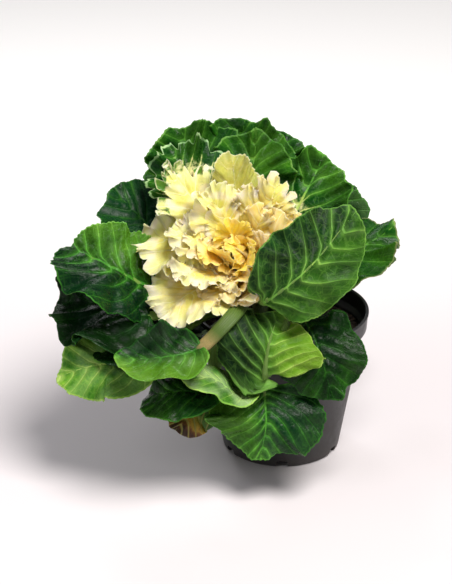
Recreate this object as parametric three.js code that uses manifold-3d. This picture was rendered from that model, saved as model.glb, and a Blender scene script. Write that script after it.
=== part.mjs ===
// Ornamental kale in its growing pot.
// Millimetres, +Z up. The origin is the centre of the pot's base, on the surface it
// stands on. The crown leans out of the pot towards -X and -Y, and the open cream
// rosette faces that way.
import * as THREE from 'three';
import { mergeVertices } from 'three/addons/utils/BufferGeometryUtils.js';
import Module from 'manifold-3d';

const wasm = await Module();
wasm.setup();

// ---------------------------------------------------------------- dimensions
const POT_HEIGHT = 90;            // base to top of rim
const POT_RIM_RADIUS = 52.5;      // 10.5 cm pot
const POT_BASE_RADIUS = 36;
const POT_WALL = 1.3;
const POT_FLOOR = 1.8;
const RIM_BAND = 12;              // height of the stiffening band below the rim
const RIM_STEP = 1.7;             // how far the band stands out from the wall
const SLOT_COUNT = 6;             // drainage slots round the base corner
const SLOT_WIDTH = 7;
const SOIL_EDGE_HEIGHT = 76;      // potting mix at the wall
const SOIL_CROWN_HEIGHT = 80;     // and at the middle
const FIT_GAP = 0.35;             // clearance between neighbouring pieces

const CROWN = new THREE.Vector3(-20, -9, 115);          // where the outer cream leaves start
const AXIS = new THREE.Vector3(-0.27, -0.64, 0.72).normalize();   // the way the rosette faces
const STEM_FOOT = new THREE.Vector3(-2, 9, 70);         // lower end of the stem, in the potting mix
const STEM_BEND = 26;             // length of the straight lead into the crown
const STEM_TIP = 20;              // growing tip beyond the crown point
const STEM_RADII = [[-60, 8.5], [-30, 8.0], [0, 7.0], [20, 3.0]];  // distance along the stem, radius

const BLADE_THICKNESS = 1.4;      // outer leaves
const CREAM_THICKNESS = 1.1;
const PETIOLE_RADIUS = 3.0;
const BROAD_PETIOLE_RADIUS = 3.8; // the low leaf whose petiole crosses the front

// ------------------------------------------------------------------- helpers
const V = (a) => new THREE.Vector3(a[0], a[1], a[2]);
const RAD = Math.PI / 180;
const lerpTable = (t, x) => {
  if (x <= t[0][0]) return t[0][1];
  for (let i = 1; i < t.length; i++) {
    if (x <= t[i][0]) {
      const f = (x - t[i - 1][0]) / (t[i][0] - t[i - 1][0]);
      return t[i - 1][1] + f * (t[i][1] - t[i - 1][1]);
    }
  }
  return t[t.length - 1][1];
};
const stemRadius = (z) => lerpTable(STEM_RADII, z);

// two directions across the crown axis: SIDE is level with +X, OVER points up and back
const SIDE = new THREE.Vector3(1, 0, 0).addScaledVector(AXIS, -AXIS.x).normalize();
const OVER = new THREE.Vector3().crossVectors(AXIS, SIDE);

// closed geometry -> solid, and back
function solid(geometry) {
  const g = geometry.clone();
  for (const name of Object.keys(g.attributes)) if (name !== 'position') g.deleteAttribute(name);
  const m = mergeVertices(g, 1e-4);
  return new wasm.Manifold(new wasm.Mesh({
    numProp: 3,
    vertProperties: new Float32Array(m.attributes.position.array),
    triVerts: new Uint32Array(m.index.array),
  }));
}
function geometryOf(manifold) {
  const m = manifold.getMesh();
  const g = new THREE.BufferGeometry();
  const p = new Float32Array(m.numVert * 3);
  for (let i = 0; i < m.numVert; i++) {
    for (let k = 0; k < 3; k++) p[3 * i + k] = m.vertProperties[m.numProp * i + k];
  }
  g.setAttribute('position', new THREE.BufferAttribute(p, 3));
  g.setIndex(new THREE.BufferAttribute(new Uint32Array(m.triVerts), 1));
  g.computeVertexNormals();
  return g;
}
// the largest body, with slivers thinner than the tolerance collapsed
function largest(manifold) {
  const parts = manifold.simplify(0.12).decompose();
  let best = parts[0];
  for (const p of parts) if (p.volume() > best.volume()) best = p;
  return best;
}
function indexed(points, triangles) {
  const g = new THREE.BufferGeometry();
  const a = new Float32Array(points.length * 3);
  points.forEach((p, i) => { a[3 * i] = p.x; a[3 * i + 1] = p.y; a[3 * i + 2] = p.z; });
  g.setAttribute('position', new THREE.BufferAttribute(a, 3));
  g.setIndex(triangles);
  return g;
}

// ------------------------------------------------------------------ the stem
const BEND_POINT = CROWN.clone().addScaledVector(AXIS, -STEM_BEND);
const STEM_LENGTH = STEM_FOOT.distanceTo(BEND_POINT) + BEND_POINT.distanceTo(CROWN);
function stemPoint(z) {                   // z: mm along the stem, 0 at CROWN, negative below
  if (z >= 0) return { p: CROWN.clone().addScaledVector(AXIS, z), d: AXIS.clone() };
  const t = 1 + z / (STEM_LENGTH * 0.97);
  const p = STEM_FOOT.clone().multiplyScalar((1 - t) ** 2)
    .addScaledVector(BEND_POINT, 2 * t * (1 - t)).addScaledVector(CROWN, t * t);
  const d = BEND_POINT.clone().sub(STEM_FOOT).multiplyScalar(2 * (1 - t))
    .addScaledVector(CROWN.clone().sub(BEND_POINT), 2 * t).normalize();
  return { p, d };
}
// a CylinderGeometry bent along the stem's curve
function stemGeometry(extra) {
  const z0 = -STEM_LENGTH * 0.96, z1 = STEM_TIP + extra;
  const g = new THREE.CylinderGeometry(1, 1, 1, 12, 9);
  const p = g.attributes.position;
  for (let i = 0; i < p.count; i++) {
    const f = p.getY(i) + 0.5, z = z0 + f * (z1 - z0);
    const { p: c, d } = stemPoint(z);
    const u = new THREE.Vector3(1, 0, 0).addScaledVector(d, -d.x).normalize();
    const w = new THREE.Vector3().crossVectors(d, u);
    const r = stemRadius(z) + extra;
    c.addScaledVector(u, p.getX(i) * r).addScaledVector(w, -p.getZ(i) * r);
    p.setXYZ(i, c.x, c.y, c.z);
  }
  return g;
}

// ---------------------------------------------------------------- the leaves
// A leaf is a blade with a rounded outline on a curved midrib, and a petiole that
// tapers into the midrib. arc() leaves turn evenly about the crown axis, laid()
// leaves pass through a junction J, a middle M and a tip T, with the upper side
// given at the junction and the tip; turn moves a petiole's
// foot round the stem, and via is where it passes over the rim of the pot.
function frameTable(points, normalsAt, roll = 0) {
  const n = points.length, T = [], B = [], N = [], s = [0];
  for (let i = 1; i < n; i++) s.push(s[i - 1] + points[i].distanceTo(points[i - 1]));
  for (let i = 0; i < n; i++) {
    const a = points[Math.max(0, i - 1)], b = points[Math.min(n - 1, i + 1)];
    const t = b.clone().sub(a).normalize();
    const m = normalsAt(s[i], i);
    m.addScaledVector(t, -m.dot(t)).normalize();
    if (roll) m.applyAxisAngle(t, roll * RAD * i / (n - 1));
    T.push(t); N.push(m); B.push(new THREE.Vector3().crossVectors(m, t));
  }
  return { s, P: points, T, B, N };
}
function arc(name, phi, z0, L, pet, hw, a0, a1, cup, roll) {
  const c = Math.cos(phi * RAD), q = Math.sin(phi * RAD);
  const er = SIDE.clone().multiplyScalar(c).addScaledVector(OVER, q);
  const n = 48, ds = L / n;
  const dir = (x) => {
    const a = (a0 + (a1 - a0) * x / L) * RAD;
    return er.clone().multiplyScalar(Math.cos(a)).addScaledVector(AXIS, Math.sin(a));
  };
  const pts = [CROWN.clone().addScaledVector(AXIS, z0).addScaledVector(er, stemRadius(z0) + 0.5)];
  for (let i = 0; i < n; i++) pts.push(pts[i].clone().addScaledVector(dir((i + 0.5) * ds), ds));
  const frame = frameTable(pts, (x) => {
    const a = (a0 + (a1 - a0) * Math.min(1, x / L)) * RAD;
    return AXIS.clone().multiplyScalar(Math.cos(a)).addScaledVector(er, -Math.sin(a));
  }, roll);
  return { name, L, pet, hw, cup, k: 0.25, frame, kind: 'arc' };
}
function laid(name, z0, J, M, T, nJ, nT, { hw, k, cup, curl = 0, turn = 0, via = null }) {
  J = V(J); M = V(M); T = V(T); nJ = V(nJ).normalize(); nT = V(nT).normalize();
  const { p, d } = stemPoint(z0);
  const dr = J.clone().sub(p); dr.addScaledVector(d, -dr.dot(d)).normalize().applyAxisAngle(d, turn * RAD);
  const base = p.clone().addScaledVector(dr, stemRadius(z0) + 0.5);
  const lead = base.clone().addScaledVector(dr, -24).addScaledVector(d, -15);
  const past = T.clone().multiplyScalar(2).sub(M).addScaledVector(nT, curl);
  const K = [lead, base, ...(via ? [V(via)] : []), J, M, T, past], fine = [];
  const atJ = via ? 48 : 24;
  for (let i = 1; i < K.length - 2; i++) {
    for (let j = 0; j < 24; j++) {
      const t = j / 24, a = K[i - 1], b = K[i], c = K[i + 1], e = K[i + 2];
      fine.push(new THREE.Vector3()
        .addScaledVector(a, 0.5 * (-t + 2 * t * t - t * t * t))
        .addScaledVector(b, 0.5 * (2 - 5 * t * t + 3 * t * t * t))
        .addScaledVector(c, 0.5 * (t + 4 * t * t - 3 * t * t * t))
        .addScaledVector(e, 0.5 * (-t * t + t * t * t)));
    }
  }
  fine.push(T.clone());
  const cum = [0];
  for (let i = 1; i < fine.length; i++) cum.push(cum[i - 1] + fine[i].distanceTo(fine[i - 1]));
  const L = cum[cum.length - 1], pet = cum[atJ], n = 64, pts = [];
  for (let i = 0, j = 0; i <= n; i++) {
    const x = L * i / n;
    while (j < cum.length - 2 && cum[j + 1] < x) j++;
    pts.push(fine[j].clone().lerp(fine[j + 1], Math.min(1, (x - cum[j]) / (cum[j + 1] - cum[j]))));
  }
  const nP = d.clone().multiplyScalar(0.8).addScaledVector(dr, 0.2).normalize();
  const tj = pet / L;
  const frame = frameTable(pts, (x, i) => {
    const t = i / n, w0 = Math.max(0, 1 - t / tj), w2 = Math.max(0, (t - tj) / (1 - tj));
    return nP.clone().multiplyScalar(w0).addScaledVector(nJ, 1 - w0 - w2).addScaledVector(nT, w2);
  });
  return { name, L, pet, hw, cup, k, frame, kind: 'laid' };
}
function along(leaf, x) {
  const { s, P, T, B, N } = leaf.frame;
  const end = s[s.length - 1], xc = Math.min(Math.max(x, 0), end);
  let j = 0;
  while (j < s.length - 2 && s[j + 1] < xc) j++;
  const f = (xc - s[j]) / (s[j + 1] - s[j]);
  const mix = (A) => A[j].clone().lerp(A[j + 1], f);
  const t = mix(T);
  return { p: mix(P).addScaledVector(t, x - xc), t, b: mix(B), n: mix(N) };
}
// point above (X, Y) of the leaf's plane, X from the junction, Y across, H off the blade
function onLeaf(leaf, X, Y, H) {
  const { p, b, n } = along(leaf, leaf.pet + X);
  const c = leaf.cup;
  let y = Y, h = 0;
  if (Math.abs(c) > 1e-6) { y = Math.sin(c * Y) / c; h = (1 - Math.cos(c * Y)) / c; }
  return p.addScaledVector(b, y).addScaledVector(n, h + H);
}
// outline of the blade at angle a about the junction, before it is scaled to its width
function outlineAt(leaf, a) {
  const Lb = leaf.L - leaf.pet;
  return Lb * (Math.cos(a) + leaf.k) / (1 + leaf.k);
}
function outline(leaf, count, grow) {
  const Lb = leaf.L - leaf.pet, last = Math.acos(-leaf.k);
  let widest = 0;
  for (let i = 0; i <= 200; i++) widest = Math.max(widest, outlineAt(leaf, last * i / 200) * Math.sin(last * i / 200));
  const asp = leaf.hw / widest, fine = [], d = [0];
  for (let i = 0; i <= 400; i++) {
    const a = -last + 2 * last * i / 400, r = outlineAt(leaf, a);
    fine.push([r * Math.cos(a), r * Math.sin(a) * asp]);
    if (i) d.push(d[i - 1] + Math.hypot(fine[i][0] - fine[i - 1][0], fine[i][1] - fine[i - 1][1]));
  }
  const qx = 0.46 * Lb, out = [];
  for (let i = 0, j = 0; i < count; i++) {
    const x = d[400] * (i + 0.5) / count;
    while (j < 399 && d[j + 1] < x) j++;
    const f = (x - d[j]) / (d[j + 1] - d[j]);
    let X = fine[j][0] + f * (fine[j + 1][0] - fine[j][0]), Y = fine[j][1] + f * (fine[j + 1][1] - fine[j][1]);
    const r = Math.hypot(X - qx, Y) || 1;
    X = qx + (X - qx) * (r + grow) / r; Y = Y * (r + grow) / r;
    out.push([X, Y]);
  }
  return { pts: out, qx };
}
function zip(a, b, tris) {               // triangles between two rings of points
  let i = 0, j = 0;
  while (i < a.length || j < b.length) {
    const fa = (i + 1) / a.length, fb = (j + 1) / b.length;
    if ((fb <= fa && j < b.length) || i >= a.length) {
      tris.push([a[i % a.length], b[j % b.length], b[(j + 1) % b.length]]); j++;
    } else {
      tris.push([a[i % a.length], b[j % b.length], a[(i + 1) % a.length]]); i++;
    }
  }
}
function bladeGeometry(leaf, thickness, grow) {
  const counts = leaf.rings, pts = [], flat = [], rings = [];
  const { qx } = outline(leaf, 4, 0);
  flat.push([qx, 0]); rings.push([0]);
  counts.forEach((n, k) => {
    const u = (k + 1) / counts.length, o = outline(leaf, n, grow).pts, ring = [];
    for (const [X, Y] of o) { ring.push(flat.length); flat.push([qx + (X - qx) * u, Y * u]); }
    rings.push(ring);
  });
  const n = flat.length, upper = [];
  for (const [X, Y] of flat) pts.push(onLeaf(leaf, X, Y, thickness / 2));
  for (const [X, Y] of flat) pts.push(onLeaf(leaf, X, Y, -thickness / 2));
  const first = rings[1];
  for (let j = 0; j < first.length; j++) upper.push([0, first[j], first[(j + 1) % first.length]]);
  for (let k = 1; k < rings.length - 1; k++) zip(rings[k], rings[k + 1], upper);
  const faces = [];
  for (const [a, b, c] of upper) { faces.push(a, b, c); faces.push(a + n, c + n, b + n); }
  const rim = rings[rings.length - 1];
  for (let j = 0; j < rim.length; j++) {
    const a = rim[j], b = rim[(j + 1) % rim.length];
    faces.push(a, a + n, b + n, a, b + n, b);
  }
  return indexed(pts, faces);
}
// petiole and midrib: a CylinderGeometry laid along the midrib and tapered
function petioleGeometry(leaf, grow) {
  const end = leaf.pet + (leaf.L - leaf.pet) * leaf.rib, start = -grow;
  const g = new THREE.CylinderGeometry(1, 1, 1, leaf.sides, leaf.steps);
  const p = g.attributes.position;
  for (let i = 0; i < p.count; i++) {
    const f = 0.5 - p.getY(i), x = start + f * (end + grow - start);
    const { p: c, b, n } = along(leaf, x);
    const past = Math.max(0, (x - leaf.pet) / (end - leaf.pet));
    const r = leaf.stalk * (x < leaf.pet ? 1.15 - 0.25 * x / leaf.pet : 0.9 - 0.55 * Math.min(1, past)) + grow;
    const drop = Math.min(1, Math.max(0, x / leaf.pet - 0.8) * 2.5) * r * 0.6;
    c.addScaledVector(b, p.getX(i) * r).addScaledVector(n, p.getZ(i) * r - drop);
    p.setXYZ(i, c.x, c.y, c.z);
  }
  return g;
}
function leafSolid(leaf, grow) {
  return solid(bladeGeometry(leaf, leaf.thick + 2 * grow, grow)).add(solid(petioleGeometry(leaf, grow)));
}

// name, height along the stem, junction, middle, tip, upper side at junction and tip
// or name, angle round the axis, height, length, petiole, half width, start and end pitch,
// cup, and how far the tip is turned about the midrib
const LEAVES = [
  laid('leaf_outer_01', -29.4, [-11.7, -62, 66.7], [-10.7, -76.1, 51], [-13.9, -78.5, 30.6], [0, -0.52, 0.85], [0, -0.96, 0.27], { hw: 35, k: 0.55, cup: -0.006, turn: 16, via: [-12.1, -53.3, 99.6] }),
  laid('leaf_outer_02', -19.9, [-11.1, -70.5, 78.2], [-9.6, -71.8, 98.8], [-3.8, -54.5, 110.5], [0.05, 0.87, -0.5], [0.1, 0.99, -0.13], { hw: 33, k: 0.22, cup: 0.012, curl: -8, turn: 27, via: [0.3, -53.5, 105.9] }),
  laid('leaf_outer_03', -22.5, [10, -8, 117], [38.2, -9.1, 130.2], [66.9, -2.5, 142], [-0.1, -0.22, 0.97], [-0.1, -0.36, 0.93], { hw: 29, k: 0.25, cup: 0.006 }),
  laid('leaf_outer_04', -14, [0.3, 16, 121.4], [22.6, 25.1, 139.9], [43.1, 31.6, 157.6], [-0.41, -0.66, 0.63], [-0.31, -0.76, 0.57], { hw: 34, k: 0.25, cup: 0.006, turn: -2 }),
  laid('leaf_outer_05', -15.1, [-26.3, 17.9, 144.6], [-25, 36.6, 168.6], [-23.7, 45.1, 195.5], [0, -0.87, 0.5], [0, -0.93, 0.36], { hw: 36, k: 0.25, cup: 0.006, turn: -2 }),
  laid('leaf_outer_06', -10.5, [-16.9, 20.8, 141.7], [-6.4, 40.2, 161.7], [3.1, 48.1, 184.6], [-0.1, -0.86, 0.49], [-0.2, -0.9, 0.4], { hw: 33, k: 0.25, cup: 0.008, turn: -11 }),
  laid('leaf_outer_07', -12, [-44.1, 14.5, 152.4], [-52.7, 30.2, 170.6], [-61.5, 36.3, 193.8], [0.2, -0.85, 0.49], [0.1, -0.91, 0.4], { hw: 33, k: 0.25, cup: 0.006, turn: 6 }),
  laid('leaf_outer_08', -17.7, [-69.4, 3.5, 132.3], [-85.8, 14, 143.6], [-102, 22, 157.7], [0.35, -0.61, 0.71], [0.3, -0.53, 0.79], { hw: 31, k: 0.25, cup: 0.004, turn: -11 }),
  laid('leaf_outer_09', -7.3, [-72.2, -25, 114.3], [-99.9, -32.6, 130.9], [-129.3, -14.8, 139.5], [0.1, -0.58, 0.81], [0.1, -0.47, 0.87], { hw: 31, k: 0.25, cup: 0.008, turn: -2 }),
  laid('leaf_outer_10', -17.3, [-78.9, -40.5, 103.9], [-104.8, -29.3, 104.8], [-133.9, -19.1, 108.1], [0.1, -0.52, 0.85], [0.21, -0.55, 0.81], { hw: 36, k: 0.25, cup: 0.006, turn: -2 }),
  laid('leaf_low_01', -2.5, [-49.1, -75.1, 99.6], [-69.3, -80.4, 95.8], [-92.5, -73.3, 90.4], [0, -0.54, 0.84], [0.1, -0.48, 0.87], { hw: 18, k: 0.25, cup: 0.01, turn: 4, via: [-28.1, -57.2, 113.8] }),
  laid('leaf_low_02', -31.5, [-83.4, -53.7, 78.3], [-105.4, -55.9, 79.5], [-129.7, -53.3, 71.8], [0.1, -0.63, 0.77], [0.1, -0.74, 0.66], { hw: 20, k: 0.25, cup: 0.004, turn: -13, via: [-47, -24.9, 96.6] }),
  laid('leaf_low_03', -35.3, [-43.8, -64.1, 69.4], [-61.9, -66.7, 67.2], [-82.8, -58.6, 58.6], [0, -0.29, 0.96], [0, -0.56, 0.83], { hw: 20, k: 0.25, cup: 0, turn: -19, via: [-37.6, -41.8, 97.5] }),
  laid('leaf_low_04', -28.7, [-43.9, -59.5, 59], [-53.7, -61.3, 50.2], [-63.7, -69.7, 42.9], [0.11, -0.56, 0.82], [0.1, -0.73, 0.67], { hw: 14, k: 0.25, cup: -0.01, turn: 19, via: [-34.5, -43.8, 94] }),
  laid('leaf_low_05', -26, [12, -43.9, 100.9], [21, -59.2, 86.5], [27, -69.2, 63.4], [0, -0.51, 0.86], [0.1, -0.86, 0.5], { hw: 26, k: 0.25, cup: 0 }),
  laid('leaf_low_06', -34, [30, 34, 101], [45, 58, 101], [58, 84, 86], [-0.1, -0.1, 0.99], [0.21, 0.31, 0.93], { hw: 26, k: 0.25, cup: 0.004 }),
  laid('leaf_low_07', -34, [-24, 46, 102], [-38, 72, 102], [-50, 98, 86], [0, -0.2, 0.98], [-0.21, 0.31, 0.93], { hw: 27, k: 0.25, cup: 0.004 }),
  laid('leaf_low_08', -16, [-44.9, -26.9, 86.7], [-83.1, -36.1, 90.6], [-114.8, -36, 91], [0.05, -0.29, 0.96], [0.1, -0.36, 0.93], { hw: 31, k: 0.25, cup: 0.004 }),
  laid('leaf_low_09', -22.6, [-23.2, -68.5, 68], [-41.3, -74.7, 79.4], [-60.8, -72.1, 82.8], [0.11, -0.14, 0.98], [0, -0.14, 0.99], { hw: 13, k: 0.25, cup: 0, turn: 22, via: [-15.9, -50, 103.1] }),
  laid('leaf_inner_01', -7.4, [-10.9, -63.3, 123.7], [14.3, -62, 144.8], [39.5, -34, 165.6], [0.15, 0.98, -0.11], [0.25, 0.96, -0.1], { hw: 27, k: 0.5, cup: 0.013, turn: 10 }),
  laid('leaf_inner_02', -4, [-5.3, -3.4, 129.7], [11, 15.7, 152.9], [25.5, 29, 177.8], [-0.34, -0.81, 0.47], [-0.2, -0.9, 0.4], { hw: 30, k: 0.25, cup: 0.01 }),
  laid('leaf_inner_03', -4, [-23.8, 3, 148.9], [-18.7, 18.9, 169.8], [-13.7, 26.9, 192.9], [0, -0.87, 0.5], [-0.1, -0.81, 0.58], { hw: 27, k: 0.25, cup: 0.01 }),
  laid('leaf_inner_04', 0.1, [-44, -4, 153.6], [-55.8, 9.8, 169.7], [-67.5, 17.7, 189.1], [0.2, -0.85, 0.49], [0.1, -0.86, 0.49], { hw: 27, k: 0.25, cup: 0.01, turn: -13 }),
  arc('leaf_cream_a_01', 18, 3.4, 49, 16, 22, 58, 18, 0.012, 20),
  arc('leaf_cream_a_02', 219, 3.8, 65, 16, 29, 68, -5, 0.012, 20),
  arc('leaf_cream_a_03', 86, 4.2, 70, 16, 16, 60, 30, 0.012, 20),
  arc('leaf_cream_a_04', 161, 4.6, 64, 16, 25, 56, 4, 0.012, 20),
  arc('leaf_cream_a_05', 298, 5, 46, 16, 17, 58, 48, 0.012, 20),
  arc('leaf_cream_a_06', 124, 5.4, 74, 16, 24, 58, 20, 0.012, 20),
  arc('leaf_cream_a_07', 48, 5.8, 61, 16, 20, 60, 34, 0.012, 20),
  arc('leaf_cream_b_01', 262, 8, 42, 12, 19, 68, 30, 0.016, 20),
  arc('leaf_cream_b_02', 4.9, 8.5, 52, 12, 19, 68, 24, 0.016, 20),
  arc('leaf_cream_b_03', 107.7, 9, 54, 12, 19, 68, 38, 0.016, 20),
  arc('leaf_cream_b_04', 210.6, 9.5, 50, 12, 19, 68, 36, 0.016, 20),
  arc('leaf_cream_b_05', 313.4, 10, 48, 12, 19, 68, 22, 0.016, 20),
  arc('leaf_cream_b_06', 56.3, 10.5, 48, 12, 19, 68, 22, 0.016, 20),
  arc('leaf_cream_b_07', 159.1, 11, 50, 12, 19, 68, 26, 0.016, 20),
  arc('leaf_cream_c_01', 222, 12, 39, 9, 14.5, 72, 30, 0.022, 20),
  arc('leaf_cream_c_02', 282, 12.4, 38, 9, 14.5, 72, 40, 0.022, 20),
  arc('leaf_cream_c_03', 342, 12.8, 40, 9, 14.5, 72, 34, 0.022, 20),
  arc('leaf_cream_c_04', 42, 13.2, 41, 9, 14.5, 72, 30, 0.022, 20),
  arc('leaf_cream_c_05', 102, 13.6, 40, 9, 14.5, 72, 28, 0.022, 20),
  arc('leaf_cream_c_06', 162, 14, 40, 9, 14.5, 72, 34, 0.022, 20),
  arc('leaf_heart_01', 190, 15.5, 35, 6, 12, 78, 54, 0.032, 20),
  arc('leaf_heart_02', 320.2, 15.8, 34, 6, 12, 78, 58, 0.032, 20),
  arc('leaf_heart_03', 90.4, 16.1, 33, 6, 12, 78, 66, 0.032, 20),
  arc('leaf_heart_04', 220.6, 16.4, 30, 6, 11.5, 78, 94, 0.032, 20),
  arc('leaf_heart_05', 350.8, 16.7, 27, 6, 10.5, 78, 124, 0.032, 20),
  arc('leaf_heart_06', 121, 17, 22, 6, 8, 78, 116, 0.032, 20),
];

// leaf detail by position: outer leaves carry a long petiole, the heart hardly any
const CLASSES = [
  ['leaf_outer', { rings: [5, 9, 13], sides: 5, steps: 7, thick: BLADE_THICKNESS, stalk: PETIOLE_RADIUS, rib: 0.6 }],
  ['leaf_low', { rings: [5, 11], sides: 5, steps: 7, thick: BLADE_THICKNESS, stalk: PETIOLE_RADIUS * 0.85, rib: 0.55 }],
  ['leaf_inner', { rings: [5, 9, 13], sides: 5, steps: 7, thick: BLADE_THICKNESS, stalk: PETIOLE_RADIUS * 0.9, rib: 0.6 }],
  ['leaf_cream_a', { rings: [5, 11], sides: 5, steps: 3, thick: CREAM_THICKNESS, stalk: 1.9, rib: 0.5 }],
  ['leaf_cream_b', { rings: [5, 10], sides: 5, steps: 3, thick: CREAM_THICKNESS, stalk: 1.5, rib: 0.4 }],
  ['leaf_cream_c', { rings: [4, 9], sides: 4, steps: 2, thick: CREAM_THICKNESS, stalk: 1.2, rib: 0.4 }],
  ['leaf_heart', { rings: [4, 8], sides: 4, steps: 2, thick: CREAM_THICKNESS, stalk: 0.9, rib: 0.35 }],
];
for (const leaf of LEAVES) Object.assign(leaf, CLASSES.find(([prefix]) => leaf.name.startsWith(prefix))[1]);
LEAVES.find((leaf) => leaf.name === 'leaf_low_01').stalk = BROAD_PETIOLE_RADIUS;

// ------------------------------------------------------- pot, mix and stem
function potGeometry() {
  const top = POT_HEIGHT, bandFoot = POT_HEIGHT - RIM_BAND;
  const wallTop = POT_RIM_RADIUS - RIM_STEP - 1.6;      // outer wall radius under the band
  const p = [
    [0, 0], [POT_BASE_RADIUS - 1.2, 0], [POT_BASE_RADIUS, 1.2],
    [wallTop, bandFoot], [POT_RIM_RADIUS - 1.0, bandFoot + 1.2],
    [POT_RIM_RADIUS - 0.4, top - 2.0], [POT_RIM_RADIUS, top - 1.6], [POT_RIM_RADIUS, top],
    [POT_RIM_RADIUS - POT_WALL - 0.8, top], [POT_RIM_RADIUS - POT_WALL - 1.0, bandFoot + 2.6],
    [wallTop - POT_WALL, bandFoot - 0.6], [POT_BASE_RADIUS - POT_WALL, POT_FLOOR + 1.0],
    [POT_BASE_RADIUS - POT_WALL - 1.2, POT_FLOOR], [0, POT_FLOOR],
  ].map(([r, z]) => new THREE.Vector2(r, z));
  return new THREE.LatheGeometry(p, 32).rotateX(Math.PI / 2);
}
let pot = solid(potGeometry());
if (pot.volume() < 0) throw new Error('pot inside out');
for (let i = 0; i < SLOT_COUNT; i++) {
  const slot = new THREE.BoxGeometry(11, SLOT_WIDTH, 9)
    .translate(POT_BASE_RADIUS + 0.5, 0, 3.0).rotateZ((i + 0.5) * 2 * Math.PI / SLOT_COUNT);
  pot = pot.subtract(solid(slot));
}
function soilGeometry() {
  const bandFoot = POT_HEIGHT - RIM_BAND, g = FIT_GAP;
  const wallTop = POT_RIM_RADIUS - RIM_STEP - 1.6 - POT_WALL, base = POT_BASE_RADIUS - POT_WALL;
  const rAt = (z) => base + (wallTop - base) * (z - POT_FLOOR) / (bandFoot - POT_FLOOR);
  const z0 = POT_FLOOR + g;
  const p = [
    [0, z0], [base - 1.8, z0], [rAt(z0 + 1.6) - g * 1.4, z0 + 1.6],
    [rAt(SOIL_EDGE_HEIGHT) - g * 1.4, SOIL_EDGE_HEIGHT], [34, SOIL_EDGE_HEIGHT + 2.2],
    [16, SOIL_CROWN_HEIGHT - 0.6], [0, SOIL_CROWN_HEIGHT],
  ].map(([r, z]) => new THREE.Vector2(r, z));
  return new THREE.LatheGeometry(p, 32).rotateX(Math.PI / 2);
}
const stem = solid(stemGeometry(0));
const soil = largest(solid(soilGeometry()).subtract(solid(stemGeometry(FIT_GAP))));

// every leaf gives way to the pieces placed before it, by the fit gap
const placed = [
  { box: stem.boundingBox(), thick: solid(stemGeometry(FIT_GAP)) },
  { box: pot.boundingBox(), thick: pot, grow: FIT_GAP },
];
const overlaps = (a, b, g) => [0, 1, 2].every((k) => a.min[k] - g < b.max[k] && b.min[k] - g < a.max[k]);
const order = [...LEAVES].sort((a, b) => RANK(a.name) - RANK(b.name));
const shapes = new Map();
for (const leaf of order) {
  let body = leafSolid(leaf, 0);
  const whole = body.volume();
  const box = body.boundingBox();
  for (const other of placed) {
    if (other.leaf && other.leaf === leaf) continue;
    if (overlaps(box, other.box, 1)) body = body.subtract(other.thick);
  }
  body = largest(body);
  shapes.set(leaf.name, { body, kept: body.volume() / whole });
  placed.push({ leaf, box, thick: leafSolid(leaf, FIT_GAP) });
}
function RANK(name) {
  return ['leaf_heart', 'leaf_cream_c', 'leaf_cream_b', 'leaf_cream_a', 'leaf_inner', 'leaf_outer', 'leaf_low']
    .findIndex((p) => name.startsWith(p));
}

// ------------------------------------------------------------------ materials
const material = (color, roughness, metalness = 0) => new THREE.MeshStandardMaterial({ color, roughness, metalness, flatShading: true });
const MATERIALS = {
  pot: material(0x1c1d20, 0.5),
  soil: material(0x2a1e14, 0.98),
  stem: material(0x7c8a52, 0.6),
  outer: material(0x1f5a26, 0.38),
  low: material(0x2c6a2a, 0.42),
  inner: material(0x3f7a35, 0.4),
  cream: material(0xefe0a6, 0.5),
  creamInner: material(0xf2d893, 0.5),
  heart: material(0xe0a52a, 0.5),
};
const leafMaterial = (name) => (
  name.startsWith('leaf_outer') ? MATERIALS.outer
    : name.startsWith('leaf_low') ? MATERIALS.low
      : name.startsWith('leaf_inner') ? MATERIALS.inner
        : name.startsWith('leaf_cream_a') || name.startsWith('leaf_cream_b') ? MATERIALS.cream
          : name.startsWith('leaf_cream_c') ? MATERIALS.creamInner : MATERIALS.heart
);

// ---------------------------------------------------------------- scene graph
const plant = new THREE.Group();
plant.name = 'ornamental_kale_in_pot';
const add = (group, name, manifold, mat) => {
  const mesh = new THREE.Mesh(geometryOf(manifold), mat);
  mesh.name = name;
  group.add(mesh);
};
const container = new THREE.Group();
add(container, 'pot', pot, MATERIALS.pot);
add(container, 'potting_mix', soil, MATERIALS.soil);
plant.add(container);
const head = new THREE.Group();
add(head, 'stem', stem, MATERIALS.stem);
for (const leaf of LEAVES) add(head, leaf.name, shapes.get(leaf.name).body, leafMaterial(leaf.name));
plant.add(head);

export { shapes };
export default plant;
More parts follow.
